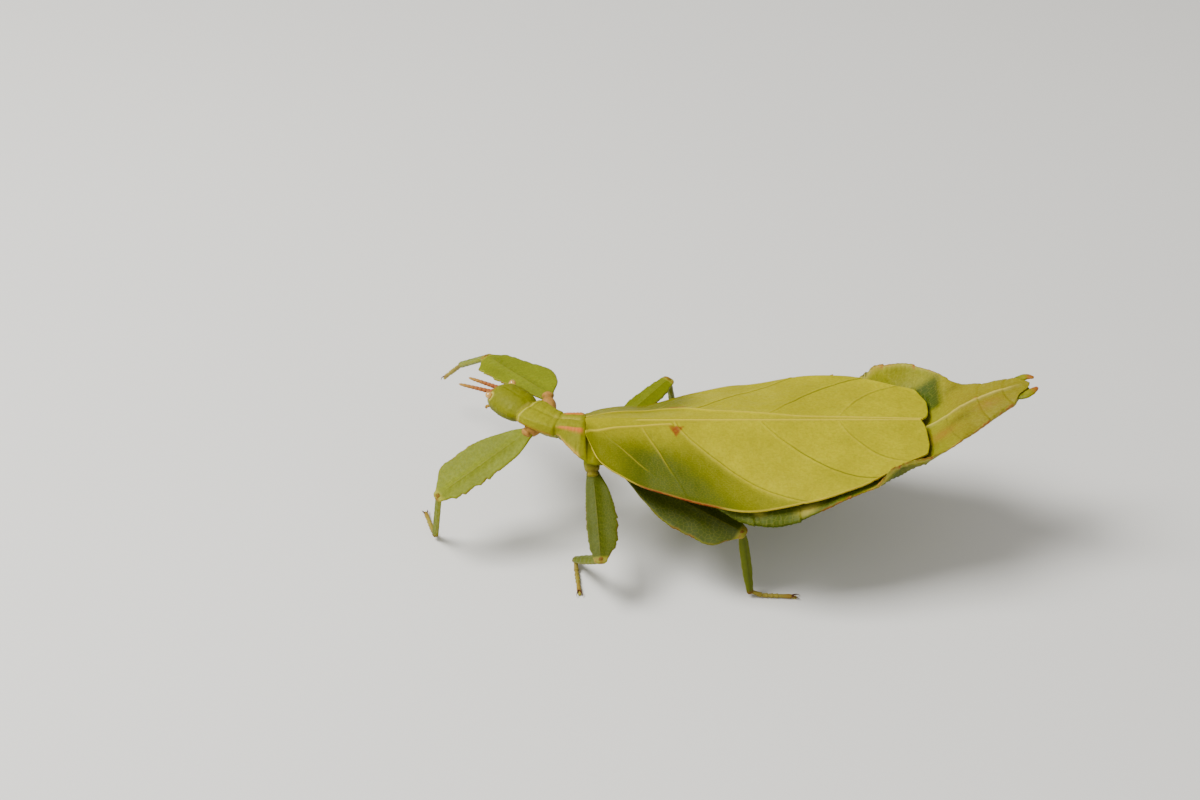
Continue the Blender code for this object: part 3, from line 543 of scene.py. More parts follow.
def tube(name, path, radius, around, rows, facing=(0, 0, 1), flat=1.0):
    """A closed tube along a smooth path; radius is a function of the share of the length."""
    path = np.array(path, float)
    along = way_along(path)
    stations = np.column_stack([along / along[-1], path])

    def shape(share, turn):
        middle = smooth_through(stations, share).T
        ahead = smooth_through(stations, share + 0.01).T - smooth_through(stations, share - 0.01).T
        ahead /= np.linalg.norm(ahead, axis=1)[:, None]
        side = np.cross(ahead, facing)
        side /= np.linalg.norm(side, axis=1)[:, None]
        face = np.cross(side, ahead)
        reach = radius(share)[:, None]
        return middle + reach * (np.cos(turn)[:, None] * side + flat * np.sin(turn)[:, None] * face)

    return skin(name, around, rows, shape)


def push_out(piece, heights):
    """Moves each vertex along its normal by a height in millimetres."""
    normals = np.empty(len(piece.data.vertices) * 3)
    piece.data.vertex_normals.foreach_get("vector", normals)
    set_places(piece, insect_places(piece) + normals.reshape(-1, 3) * heights[:, None])


def mark(piece, deep=0.0, pale=0.0, rust=0.0):
    """Stores masks from 0 to 1 on the vertices, for the material to paint by."""
    count = len(piece.data.vertices)
    for name, mask in (("deep", deep), ("pale", pale), ("rust", rust)):
        layer = piece.data.attributes.new(name, "FLOAT", "POINT")
        mask = np.clip(np.broadcast_to(mask, count), 0.0, 1.0)
        layer.data.foreach_set("value", mask.astype(np.float32))


def lay_net(piece, across, along):
    """Sets the piece's map to distances in millimetres, for patterns that follow its surface."""
    loops = np.empty(len(piece.data.loops), int)
    piece.data.loops.foreach_get("vertex_index", loops)
    flat = np.column_stack([along[loops], across[loops]])
    piece.data.uv_layers.active.data.foreach_set("uv", flat.ravel())


def join_pieces(name, pieces):
    """One piece of several, named anew."""
    bpy.ops.object.select_all(action="DESELECT")
    for piece in pieces:
        piece.select_set(True)
    bpy.context.view_layer.objects.active = pieces[0]
    bpy.ops.object.join()
    pieces[0].name = name
    pieces[0].data.name = name
    return pieces[0]


def dress(piece, material, slot, *nodes):
    """Gives a finished piece its material and its place in the frame."""
    piece.data.materials.clear()
    piece.data.materials.append(material)
    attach(piece, "root")
    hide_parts(*nodes)


# Materials

MAP_RANGE = ("Value", "From Min", "From Max", "To Min", "To Max")  # the inputs of such a node


def feed(tree, node, inputs):
    """Gives a node its inputs, each a value or a socket to link."""
    for key, value in inputs.items():
        if isinstance(value, bpy.types.NodeSocket):
            tree.links.new(value, node.inputs[key])
        else:
            node.inputs[key].default_value = value


def add(tree, kind, inputs=None, out=0, **settings):
    """Adds a node with its settings and inputs, and gives one of its outputs."""
    made = tree.nodes.new(kind)
    for name, value in settings.items():
        setattr(made, name, value)
    feed(tree, made, inputs or {})
    return made.outputs[out]


def new_material(name):
    """A new material with its tree of nodes and its shader."""
    material = bpy.data.materials.new(name)
    material.use_nodes = True
    return material, material.node_tree, material.node_tree.nodes["Principled BSDF"]


def cuticle(name, colours, net=0.0, grain=0.35, rough=0.52, shine=0.14):
    """Insect cuticle, grown and not made: a waxy satin skin over green tissue.

    To the eye it is softly glossy, finely pebbled and mottled, with light sinking a little way in.
    Masks on the mesh bring in the deeper green, the pale veins and the rust-red rims: colours are
    the leaf green, the deep green, the pale and the rust. net is the width of the cells between
    the finest veins and grain the width of the pebbles, both in millimetres.
    """
    leaf, deep, pale, rust = colours
    material, tree, shader = new_material(name)
    metres = add(tree, "ShaderNodeTexCoord", out="Object")
    place = add(tree, "ShaderNodeVectorMath", {0: metres, "Scale": 1 / MM}, operation="SCALE")
    masks = {
        key: add(tree, "ShaderNodeAttribute", attribute_name=key, out="Fac")
        for key in ("deep", "pale", "rust")
    }
    # cloudy green patches about 6 mm wide, 0.16 to a millimetre, and mottling of 0.4 mm, 2.4 to one
    cloud = add(tree, "ShaderNodeTexNoise", {"Vector": place, "Scale": 0.16, "Detail": 3.0})
    mottle = add(tree, "ShaderNodeTexNoise", {"Vector": place, "Scale": 2.4, "Detail": 4.0})
    # what they give to the colour's two layers, to the wear of the rims and to the roughness
    clouds, specks, wear, roughness = (
        add(tree, "ShaderNodeMapRange", dict(zip(MAP_RANGE, row)))
        for row in (
            (cloud, 0.36, 0.66, 0.0, 1.0),
            (mottle, 0.35, 0.7, 0.0, 0.42),
            (mottle, 0.25, 0.55, 0.55, 1.0),
            (mottle, 0.3, 0.7, rough - 0.06, rough + 0.08),
        )
    )
    worn = add(tree, "ShaderNodeMath", {0: masks["rust"], 1: wear}, operation="MULTIPLY")
    # pebbles too fine to show are drawn at the grain's size
    pebbles = add(
        tree, "ShaderNodeTexVoronoi", {"Vector": place, "Scale": 1 / grain, "Randomness": 1.0}
    )
    bumps = [(mottle, 0.25), (pebbles, -0.3)]
    layers = [
        (tuple(min(1.0, 1.22 * c) for c in leaf), clouds),
        (tuple(0.62 * c for c in leaf), specks),
        (deep, masks["deep"]),
    ]
    if net:
        # the fine net of veins follows the surface; its cells are a quarter longer than wide
        inputs = {0: add(tree, "ShaderNodeTexCoord", out="UV"), 1: (1.0, 1.25, 1.0)}
        flat = add(tree, "ShaderNodeVectorMath", inputs, operation="MULTIPLY")
        inputs = {"Vector": flat, "Scale": 1 / net, "Randomness": 0.9}
        kind = {"feature": "DISTANCE_TO_EDGE", "voronoi_dimensions": "2D"}
        cells = add(tree, "ShaderNodeTexVoronoi", inputs, **kind)
        lines = add(tree, "ShaderNodeMapRange", dict(zip(MAP_RANGE, (cells, 0.0, 0.08, 1.0, 0.0))))
        bumps.append((lines, 0.3))
        faint = add(tree, "ShaderNodeMath", {0: lines, 1: 0.13}, operation="MULTIPLY")
        layers.append((pale, faint))
    layers += [(pale, masks["pale"]), (rust, worn)]
    colour = (*leaf, 1.0)
    for top, mask in layers:
        inputs = {0: mask, 6: colour, 7: (*top, 1.0)}
        colour = add(tree, "ShaderNodeMix", inputs, out=2, data_type="RGBA")
    height = 0.0
    for pattern, strength in bumps:
        inputs = {0: pattern, 1: strength, 2: height}
        height = add(tree, "ShaderNodeMath", inputs, operation="MULTIPLY_ADD")
    bump = add(tree, "ShaderNodeBump", {"Height": height, "Strength": 0.35, "Distance": 0.12 * MM})
    feed(tree, shader, {
        "Base Color": colour,
        "Normal": bump,
        "Roughness": roughness,
        "IOR": 1.5,
        "Specular IOR Level": shine,
        "Subsurface Weight": 0.12,
        "Subsurface Radius": (0.5, 0.8, 0.2),
        "Subsurface Scale": 0.8 * MM,
    })
    return material


def eye_facets(name, colour):
    """A compound eye's facets: clear, glossy cornea over pale tissue with darker specks."""
    material, tree, shader = new_material(name)
    place = add(tree, "ShaderNodeTexCoord", out="Object")
    # facets of 0.05 mm drawn at 0.09 mm, 11 to a millimetre, so that they show; specks of 0.4 mm
    inputs = {"Vector": place, "Scale": 11.0 / MM, "Randomness": 0.25}
    cells = add(tree, "ShaderNodeTexVoronoi", inputs)
    specks = add(tree, "ShaderNodeTexNoise", {"Vector": place, "Scale": 2.6 / MM, "Detail": 2.0})
    mask = add(tree, "ShaderNodeMapRange", dict(zip(MAP_RANGE, (specks, 0.5, 0.68))))
    inputs = {0: mask, 6: (*colour, 1.0), 7: (*(0.45 * c for c in colour), 1.0)}
    bump = add(tree, "ShaderNodeBump", {"Height": cells, "Strength": 0.3, "Distance": 0.02 * MM})
    feed(tree, shader, {
        "Base Color": add(tree, "ShaderNodeMix", inputs, out=2, data_type="RGBA"),
        "Normal": bump,
        "Roughness": 0.22,
        "Coat Weight": 0.5,
    })
    return material


# Forewings

def wing_surface(x, share):
    """Half width and height of the closed wings, by place along the body and share of the width."""
    width, drop = smooth_through(WING_WIDTHS, x)
    return width, RIDGE_HEIGHT - drop * share**WING_ROOF


def vein_distances(x, share, side):
    """The distance to the main vein, the share where it runs, and the distance to each branch."""
    width, _ = wing_surface(x, share)
    main_share = smooth_through(MAIN_VEINS[side], x)[0]
    to_main = np.abs(share - main_share) * width
    if side < 0:
        # the left wing's main vein ends in its third branch, and a second one runs by the midline
        to_main = to_main + 2.0 * ease(10.4, 11.2, x)
        to_midline = np.abs(share * width - MIDLINE_VEIN) + 2.0 * ease(6.0, 0.0, x)
        to_main = np.minimum(to_main, to_midline)
    to_branches = []
    for crest, edge, lean, *_ in BRANCHES:
        line = crest + (edge - crest) * share**lean
        slope = (edge - crest) * lean * np.maximum(share, 0.02) ** (lean - 1) / np.maximum(width, 1)
        to_branches.append((x - line) / np.sqrt(1 + slope**2))
    return to_main, main_share, to_branches


def make_forewing(name, side, look):
    """One forewing, bent from a fine grid, its veins raised and its edge rolled."""
    piece, grid = add_primitive(
        name, bpy.ops.mesh.primitive_grid_add, x_subdivisions=300, y_subdivisions=104, size=1.0
    )
    along, share = grid[:, 0] + 0.5, grid[:, 1] + 0.5
    rear = WING_NOTCH + WING_TIP[side] * (1 - np.exp(-9 * share))
    rear -= WING_CORNER[side] * (np.maximum(share - 0.75, 0.0) / 0.25) ** 2
    x = WING_FRONT + along * (rear - WING_FRONT)
    width, height = wing_surface(x, share)
    y = WING_INNER[side] + share * (width - WING_INNER[side])
    to_main, main_share, to_branches = vein_distances(x, share, side)
    crest = main_share
    if side < 0:
        crest = np.where(x > 9.0, np.minimum(crest, MIDLINE_VEIN / width), crest)
    beyond = ease(0.0, 0.03, share - crest)
    rise = hump(to_main, look.vein_width / MM) * (0.2 + 0.8 * ease(-0.5, 2.5, x))
    rise *= look.vein_rise / MM
    creases = np.zeros(len(x))
    ends = (ease(0.95, 0.75, share), 1.0, 1.0, 1.0, 1.0)
    for (_, _, _, raised, *_), distance, end in zip(BRANCHES, to_branches, ends):
        strength = raised * beyond * (1 - 0.55 * share) * end
        rise = np.maximum(rise, 0.14 * strength * hump(distance, 0.15))
        creases = np.maximum(creases, strength * hump(distance - 0.28, 0.15))
    places = np.column_stack([x, side * y, height])
    buckle = 0.07 * ripple(places, 5.0, 3) + 0.03 * ripple(places, 1.8, 4)
    edge = hump(1 - share, 0.6 / 14) * ease(-2.1, 0.5, x)
    overlap = -0.34 * hump(share, 0.05) if side > 0 else 0.06 * hump(share, 0.03)
    places[:, 2] += rise - 0.07 * creases + buckle * (1 - edge) * beyond + 0.1 * edge + overlap
    set_places(piece, places)
    if piece.data.polygons[0].normal.z < 0:
        on_all_faces(bpy.ops.mesh.flip_normals)
    lay_net(piece, 1.6 * y, x - 14 * share**1.5)
    mark(piece, *wing_masks(side, x, y, share, beyond))
    apply_modifier(piece, "SOLIDIFY", thickness=look.thickness, offset=-1.0)
    turn_outward(piece)
    return piece


def wing_masks(side, x, y, share, beyond):
    """Where a forewing is deep green, pale along its veins and rim, and rust-red."""
    width, _ = wing_surface(x, share)
    to_main, main_share, to_branches = vein_distances(x, share, side)
    third, fourth = to_branches[2], to_branches[3]
    # painted shade: deeper green where the front and outer slope of the wing fall away from the
    # light
    shaded = ease(0.9, -1.1, third) * (0.15 + 0.85 * ease(0.05, 0.62, share))
    shaded *= 0.72 + 0.24 * ease(-1.5, -5.0, third)
    shaded *= (0.75 + 0.25 * ease(0.0, 7.0, x)) * (1 - 0.26 * ease(12.0, 27.0, x))
    # the far wing gets less painted shade, ending close to its root
    if side > 0:
        shaded *= 0.7 * ease(17.0, 11.0, x)
    shaded += 0.15 * ease(-3.5, 0.0, fourth) * ease(0.5, -0.5, fourth) * share
    veins = 0.75 * hump(to_main, 0.13)
    lines = np.zeros(len(x))
    # the first two branches show only for a part of their way
    parts = (ease(0.45, 0.6, share) * ease(0.8, 0.7, share), ease(0.85, 0.5, share), 1.0, 1.0, 1.0)
    for (*_, lined, pale), distance, part in zip(BRANCHES, to_branches, parts):
        veins = np.maximum(veins, pale * part * beyond * hump(distance, 0.1))
        lines += lined * beyond * ease(0.1, 0.5, share) * hump(distance - 0.22, 0.11)
    if side > 0:
        # fine pale streaks between the midline and the main vein, 0.6 mm apart
        streaks = hump((share * width + 0.03 * x) % 0.6 - 0.3, 0.07)
        streaks *= ease(0.0, -0.05, share - main_share) * ease(26.0, 12.0, x)
        veins = np.maximum(veins, 0.25 * streaks)
        spots = blot((x - 11.2) / 1.5, (y - 6.0) / 0.8, 0.6, 0.2)
    else:
        spots = blot(x - 11.0, 1.8 - y, 0.62, 0.5)
    rim = ease(0.988, 0.998, share) * ease(-2.1, -0.5, x)
    flushed = np.maximum(rim, 0.35 * ease(0.97, 1.0, share))
    flushed *= ease(4.5, 6.5, x) * ease(18.5, 16.0, x)
    return np.maximum(shaded, lines), np.maximum(veins, 0.7 * rim), np.maximum(spots, flushed)


def blot(x, y, reach, turn):
    """A small three-cornered mask around the origin."""
    angle = (np.arctan2(y, x) - turn) % (2 * pi / 3) - pi / 3
    distance = np.hypot(x, y) * np.cos(angle)
    return 0.85 * ease(1.25 * reach, 0.75 * reach, distance)


class LEAF_OT_forewings(bpy.types.Operator):
    """Makes both forewings with their veins"""

    bl_idname = "leaf_insect.forewings"
    bl_label = "Forewings"

    def execute(self, context):
        look = context.scene.leaf_insect.wings
        colours = (look.blade, look.deep, look.vein, look.rust)
        material = cuticle("waxed wing cuticle", colours, net=0.7, shine=0.08)
        for name, side in (("tegmen_left", -1), ("tegmen_right", 1)):
            piece = make_forewing(f"forewing_{name[7:]}", side, look)
            dress(piece, material, "tegmen_leaf", name)
        return {"FINISHED"}


# Abdomen and tail

def ceiling_under_wings(x, y):
    """Greatest height that keeps clear below the closed wings, rising steeply past their edge."""
    width, _ = wing_surface(x, np.zeros(len(x)))
    share = np.minimum(np.abs(y) / width, 1.0)
    height = wing_surface(x, share)[1] - 0.52
    past = np.maximum(np.abs(y) - width, x - WING_END)
    return height + 3.0 * np.maximum(past - 0.7, 0.0)


def segment_lift(x):
    """How far along its segment each place is, from 0 to 1, and the distance to the next seam."""
    ends = np.array((ABDOMEN_FRONT, *SEGMENT_ENDS))
    i = np.clip(np.searchsorted(ends, x, side="right") - 1, 0, len(ends) - 2)
    lift = (x - ends[i]) / (ends[i + 1] - ends[i])
    seam = np.min(np.abs(x[:, None] - ends[None, 1:-1]), axis=1)
    return np.clip(lift, 0, 1), seam


def bowed(x, out):
    """Places measured so that the segments' seams bow rearward toward the margins."""
    return x + SEAM_BOW * (0.4 - out**2)


def abdomen_places(share, turn):
    """The abdomen's skin: upper face for the first half turn, lower face for the second."""
    x = ABDOMEN_FRONT + share * (ABDOMEN_TIP - ABDOMEN_FRONT)
    width, middle, margin, curl = smooth_through(ABDOMEN_SHAPE, x)
    across = spread(turn)
    lift, seam = segment_lift(bowed(x, np.abs(across)))
    tooth = 0.24 + np.where(across < 0, 0.14 * ease(34.0, 31.0, x), 0.0)
    tooth *= np.minimum(1.0, width / 6)
    nicks = 0.06 * np.sin(2 * pi * x / 0.83) * np.sin(2 * pi * x / 2.9)
    ragged = (tooth * (lift**2 - 0.4) + nicks) * ease(60.6, 59.0, x)
    x = x - 1.5 * across**2 * ease(58.8, 61.5, x)
    y = across * (width + ragged * ease(0.88, 1.0, np.abs(across)))
    height = middle + (margin - middle) * np.abs(across) ** curl
    height = np.minimum(height, ceiling_under_wings(x, y) - 0.3)
    height += 0.08 * lift * ease(0.0, 0.35, lift) - 0.05 * hump(seam, 0.16)
    height += 0.24 * hump(y, 0.32) + 0.05 * hump(np.abs(y) - 0.32 * width, 0.5)
    core = smooth_through(ABDOMEN_CORE, x)[0]
    thick = ABDOMEN_MARGIN_THICK + core * hump(y, ABDOMEN_CORE_WIDTH)
    thick += 0.1 * ease(0.9, 1.0, np.abs(across))
    half = 0.5 * thick * np.sqrt(1 - 0.94 * np.abs(across) ** 24)
    lower = np.where(turn < pi, height - 0.5 * thick + half, height - 0.5 * thick - half)
    return np.column_stack([x, y, lower])


def patches(rows, along, across):
    """A mask of soft oval patches, each a row of place, size and strength."""
    return sum(
        strength * hump(np.hypot((along - x) / length, (across - y) / width), 1.0)
        for x, y, length, width, strength in rows
    )


def abdomen_masks(at, turn):
    """Where the abdomen is deep green, pale and rust-red."""
    x, y = at[:, 0], at[:, 1]
    width = smooth_through(ABDOMEN_SHAPE, x)[0]
    out = np.abs(y) / width
    lift, seam = segment_lift(bowed(x, out))
    near = y < 0
    # painted shadow of the far wing's tip and painted shade in the dips by the keel, then a deeper
    # green on the near half toward the tail
    hollow_shade = 0.95 * ease(50.4, 49.2, x) * ease(2.6, 4.2, y) * ease(9.8, 8.2, y)
    hollow_shade += patches(SHADED_HOLLOWS, x, y) + 0.16 * ease(50.0, 53.0, x) * ease(1.5, 0.0, y)
    # painted shadow of the wings on the near side of the abdomen, ending sooner at the margin
    wing_shadow = 0.85 * ease(48.5, 41.0, x + 10 * ease(0.94, 0.985, out)) * ease(1.0, -1.0, y)
    # painted shade on the lower face, left off the near margin's rear so that its outer face looks
    # lit
    underside_shade = 0.5 * ease(pi, pi + 0.3, turn) * ease(2 * pi, 2 * pi - 0.3, turn)
    underside_shade *= 1 - 0.9 * ease(34.0, 38.0, x) * ease(0.55, 0.8, out)
    seams = 0.4 * hump(seam, 0.09) * ease(1.0, -0.3, y) * ease(0.97, 0.9, out)
    ovals = patches(OVALS, x, y / width)
    keel = 0.75 * hump(y, 0.18) * ease(44, 48, x) * ease(61, 57, x)
    # painted light: a paler strip where light falls on the upturned margins of the rear half
    lit_margin = 0.3 * ease(0.955, 0.98, out) * ease(36.0, 40.0, x)
    torn = 0.5 + 0.5 * ripple(at, 1.4, 13)
    far_wear = sum(hump(x - place, size) for place, size in FAR_WEAR)
    worn = np.where(near, ease(30.0, 32.0, x), far_wear)
    rim = 0.8 * ease(np.where(near, 0.982, 0.97), 0.998, out) * ease(0.0, 0.5, torn) * worn
    corners = 0.8 * hump(lift - 0.97, 0.06) * ease(0.965, 0.99, out)
    corners *= np.where(near, ease(28.0, 33.0, x), 1.0)
    bruise = patches(BRUISES, x, y) + 0.12 * ease(48.0, 52.0, x)
    return (
        np.max([hollow_shade, wing_shadow, underside_shade, seams], axis=0) * (1 - ovals),
        np.max([keel, 0.75 * ovals, lit_margin], axis=0),
        np.max([rim, corners, bruise], axis=0),
    )


def make_cercus(name, path, material):
    """One of the two small flattened tail pieces."""

    def thickness(share):
        return 0.66 * np.sin(pi * np.clip(0.12 + 0.82 * share, 0, 1)) ** 0.6

    cercus, share, _ = tube(f"tail_{name}", path, thickness, around=32, rows=48, flat=0.5)
    push_out(cercus, 0.02 * ripple(insect_places(cercus), 0.5, 21))
    mark(cercus, deep=0.5 * ease(0.5, 0.1, share), rust=0.9 * ease(0.5, 0.95, share))
    dress(cercus, material, "cercus_cuticle", name)


class LEAF_OT_abdomen(bpy.types.Operator):
    """Makes the leaf-like abdomen and the two cerci"""

    bl_idname = "leaf_insect.abdomen"
    bl_label = "Abdomen"

    def execute(self, context):
        look = context.scene.leaf_insect.body
        colours = (look.leaf, look.deep, look.pale, look.rust)
        piece, _, turn = skin("abdomen_skin", around=176, rows=420, shape=abdomen_places)
        at = insect_places(piece)
        push_out(piece, 0.05 * ripple(at, 3.2, 11) + 0.02 * ripple(at, 1.1, 12))
        lay_net(piece, 1.6 * at[:, 1], at[:, 0])
        mark(piece, *abdomen_masks(at, turn))
        dress(piece, cuticle("leafy body cuticle", colours, net=0.9), "abdomen_leaf", "abdomen")
        tail = cuticle("tail cuticle", colours)
        for name, path in CERCI.items():
            make_cercus(name, path, tail)
        return {"FINISHED"}


# Thorax

def thorax_ring(x, y, yaw, back, flare, top, shoulder, rim, belly):
    """Points around one cross section, from the midline of the back round to it again."""
    half = (
        (0.0, top - 0.14),
        (0.3 * back, top),
        (0.7 * back, top - 0.35 * (top - shoulder)),
        (back, shoulder),
        (flare, rim),
        (0.9 * flare, rim - 0.5),
        (0.55 * flare, 0.5 * (rim + belly) - 0.1),
        (0.25 * flare, belly + 0.1),
    )
    across = [*half, (0.0, belly)] + [(-out, z) for out, z in half[:0:-1]]
    turn = radians(yaw)
    return [(x + out * sin(turn), y + out * cos(turn), z) for out, z in across]


def thorax_zones(way):
    """Masks of the front ring of the thorax and of its middle ring."""
    return ease(5.3, 5.0, way), ease(5.7, 6.2, way) * ease(9.2, 8.6, way)


def thorax_heights(at, way, side):
    """Knobbed and granular edges and keel raised, furrows between the plates sunk."""
    x = at[:, 0]
    front, middle = thorax_zones(way)
    knobs = hump((x + 4.0) % 0.62 - 0.31, 0.16) * hump(side - 4.0, 0.3)
    grains = hump((x + 4.0) % 0.5 - 0.25, 0.12) * (hump(side, 0.2) + hump(side - 2.9, 0.2))
    heights = middle * (0.12 * knobs + 0.05 * grains + 0.09 * hump(side, 0.22))
    heights -= 0.1 * hump(way - 5.62, 0.16) + 0.1 * hump(x - 1.15, 0.2)
    folds = 0.07 * hump(way - 0.5, 0.2) - 0.05 * hump(way - 1.0, 0.18)
    folds += 0.03 * hump(way - 5.1, 0.25)
    heights += folds * ease(5.0, 3.5, side)
    furrows = 0.07 * hump(way - 2.9, 0.3) * ease(2.2, 0.8, side)
    furrows += 0.04 * hump(side, 0.2) * ease(1.1, 1.4, way) + 0.05 * hump(side - 3.4, 0.25)
    heights += 0.025 * ripple(at, 1.3, 31) + 0.012 * ripple(at, 0.5, 32) - furrows * front
    return heights * ease(0.0, 0.3, way) * ease(16.9, 16.5, way)


def thorax_masks(at, way, side):
    """Where the thorax is deep green, pale and orange-pink."""
    front, middle = thorax_zones(way)
    far = at[:, 1] > 0
    collar = ease(np.where(far, 1.2, 2.45), np.where(far, 1.6, 2.7), side)
    collar *= ease(np.where(far, 3.8, 3.2), 2.95, side) * ease(5.5, 6.6, way) * ease(9.6, 9.0, way)
    pleura = hump(side - 4.05, 0.16) * middle
    folds = 0.6 * hump(way - 0.45, 0.13) + 0.25 * hump(way - 5.0, 0.5) * hump(side, 0.7)
    folds *= ease(5.0, 3.5, side)
    return (
        # deep: a dark line at the seam behind the front ring, and painted shade on the lower sides
        np.maximum(0.2 * hump(way - 5.62, 0.14), 0.55 * ease(3.5, 5.2, side) * ease(5.4, 6.0, way)),
        np.max([folds, 0.3 * hump(side, 0.5) * middle, 0.6 * pleura], axis=0),
        np.max([0.9 * collar, 0.4 * pleura, 0.4 * hump(side - 4.4, 0.4) * front], axis=0),
    )


class LEAF_OT_thorax(bpy.types.Operator):
    """Makes the thorax as one skin with its plates, furrows and knobbed side edges"""

    bl_idname = "leaf_insect.thorax"
    bl_label = "Thorax"

    def execute(self, context):
        look = context.scene.leaf_insect.body
        rings = [thorax_ring(*row) for row in THORAX]
        piece, way, turn = lofted("thorax_skin", rings, around=144, rows=260)
        at = insect_places(piece)
        place = turn / (2 * pi) * THORAX_POINTS
        side = np.minimum(place, THORAX_POINTS - place)
        push_out(piece, thorax_heights(at, way, side))
        mark(piece, *thorax_masks(at, way, side))
        colours = (look.leaf, look.deep, look.pale, look.collar)
        material = cuticle("pebbled thorax cuticle", colours, grain=0.28, rough=0.6)
        dress(piece, material, "thorax_cuticle", "prothorax", "mesothorax", "metathorax")
        return {"FINISHED"}


# Head

def head_place(along, out, up):
    """Places from distances along the head, toward its right and above its middle."""
    turn = radians(HEAD_YAW)
    x = HEAD_NECK[0] - along * cos(turn) + out * sin(turn)
    y = HEAD_NECK[1] + along * sin(turn) + out * cos(turn)
    return np.stack(np.broadcast_arrays(x, y, HEAD_MIDDLE + up), axis=-1)


def head_skin_places(share, turn):
    """The head's shell, an oval at each distance from the neck."""
    along = HEAD_SHAPE[0][0] + share * (HEAD_SHAPE[-1][0] - HEAD_SHAPE[0][0])
    width, above, below = smooth_through(HEAD_SHAPE, along)
    middle, reach = (above - below) / 2, (above + below) / 2
    return head_place(along, width * np.cos(turn), middle + reach * np.sin(turn))


def egg(name, centre, radii, around=32, rows=24):
    """An egg-shaped piece, set square to the head."""
    along, out, up = centre

    def shape(share, turn):
        angle = pi * (0.02 + 0.96 * share)
        ring = np.sin(angle)
        across, height = radii[1] * ring * np.cos(turn), radii[2] * ring * np.sin(turn)
        return head_place(along + radii[0] * np.cos(angle), out + across, up + height)

    return skin(name, around, rows, shape)[0]


def palp(name, side, joints, radius):
    """A jointed feeler of the mouth."""
    path = [head_place(along, side * out, up) for along, out, up in joints]

    def thickness(share):
        beads = 1 - 0.25 * hump((3 * share) % 1.0 - 0.02, 0.1)
        return radius * beads * np.sqrt(np.clip(1 - (2 * share - 1) ** 8, 0.02, 1))

    return tube(name, path, thickness, 16, 40, facing=(0, 1, 0.2))[0]


def mouthparts():
    """Upper lip, face plate, jaws and both pairs of palps."""
    parts = [
        egg("face_plate", (7.2, 0.0, -0.45), (0.55, 1.1, 0.55)),
        egg("upper_lip", (7.55, 0.0, -1.15), (0.42, 0.85, 0.6)),
        egg("lower_lip", (6.85, 0.0, -2.3), (0.55, 0.7, 0.45)),
    ]
    jaw_palp = ((6.3, 1, -1.4), (6.9, 1.3, -1.9), (7.5, 1.35, -2.3), (7.9, 1.1, -2.9))
    lip_palp = ((6.3, 0.4, -1.7), (6.8, 0.5, -2.3), (7.2, 0.45, -2.8))
    for side in (-1, 1):
        parts.append(egg("jaw", (7.15, side * 0.58, -1.75), (0.62, 0.56, 0.52)))
        parts.append(palp("jaw_palp", side, jaw_palp, 0.22))
        parts.append(palp("lip_palp", side, lip_palp, 0.17))
    return parts


def from_pair(at, along, out, up):
    """Distances in millimetres from the nearer of two places, alike on both sides of the head."""
    pair = [head_place(along, side * out, up) for side in (-1, 1)]
    return np.min([np.linalg.norm(at - place, axis=1) for place in pair], axis=0)


def head_capsule():
    """The head's shell, with rims round the eyes, a line along its crown and grooved cheeks."""
    capsule, share, turn = skin("head_capsule", around=112, rows=130, shape=head_skin_places)
    at = insect_places(capsule)
    near = from_pair(at, *EYE_PLACE)
    sockets = from_pair(at, *ANTENNA_SOCKET)
    above = np.maximum(np.sin(turn), 0)
    crown = hump(np.cos(turn) * above, 0.05) * above
    heights = 0.1 * hump(near - 0.72, 0.12) - 0.1 * crown * ease(0.2, 0.4, share)
    groove = hump(np.sin(turn) + 0.12, 0.07) * ease(0.12, 0.25, share) * ease(0.85, 0.75, share)
    heights -= 0.07 * groove
    heights += 0.025 * ripple(at, 1.1, 41) + 0.02 * ripple(at, 0.36, 42)
    push_out(capsule, heights * ease(0.0, 0.05, share) * ease(1.0, 0.97, share))
    mark(
        capsule,
        # an even deeper tone, painted shade on the underside and a dark line along the crown
        deep=0.3 + 0.3 * ease(0.1, -0.5, np.sin(turn)) + 0.12 * crown,
        pale=0.75 * ease(1.0, 0.65, near) + 0.5 * ease(0.1, 0.02, share),
        rust=np.maximum(0.55 * ease(1.5, 0.5, sockets), 0.35 * ease(0.93, 1.0, share)),
    )
    return capsule


class LEAF_OT_head(bpy.types.Operator):
    """Makes the head with its mouthparts, and both eyes"""

    bl_idname = "leaf_insect.head"
    bl_label = "Head"

    def execute(self, context):
        look = context.scene.leaf_insect.body
        capsule, parts = head_capsule(), mouthparts()
        for part in parts:
            mark(part, deep=0.1, pale=0.2, rust=0.55 if part.name.startswith("jaw") else 0.3)
        colours = (look.leaf, look.deep, look.pale, look.rust)
        material = cuticle("fine-grained head cuticle", colours, grain=0.24, rough=0.58)
        dress(join_pieces("head_skin", [capsule, *parts]), material, "head_cuticle", "head")
        facets = eye_facets("faceted eye cornea", look.eye)
        for name, side in (("eye_left", -1), ("eye_right", 1)):
            place = (EYE_PLACE[0], side * EYE_PLACE[1], EYE_PLACE[2])
            radii = (0.56, 0.86 * EYE_RADIUS, 0.5)
            eye = egg(name + "_cornea", place, radii, around=40, rows=32)
            dress(eye, facets, "eye_lens", name)
        return {"FINISHED"}


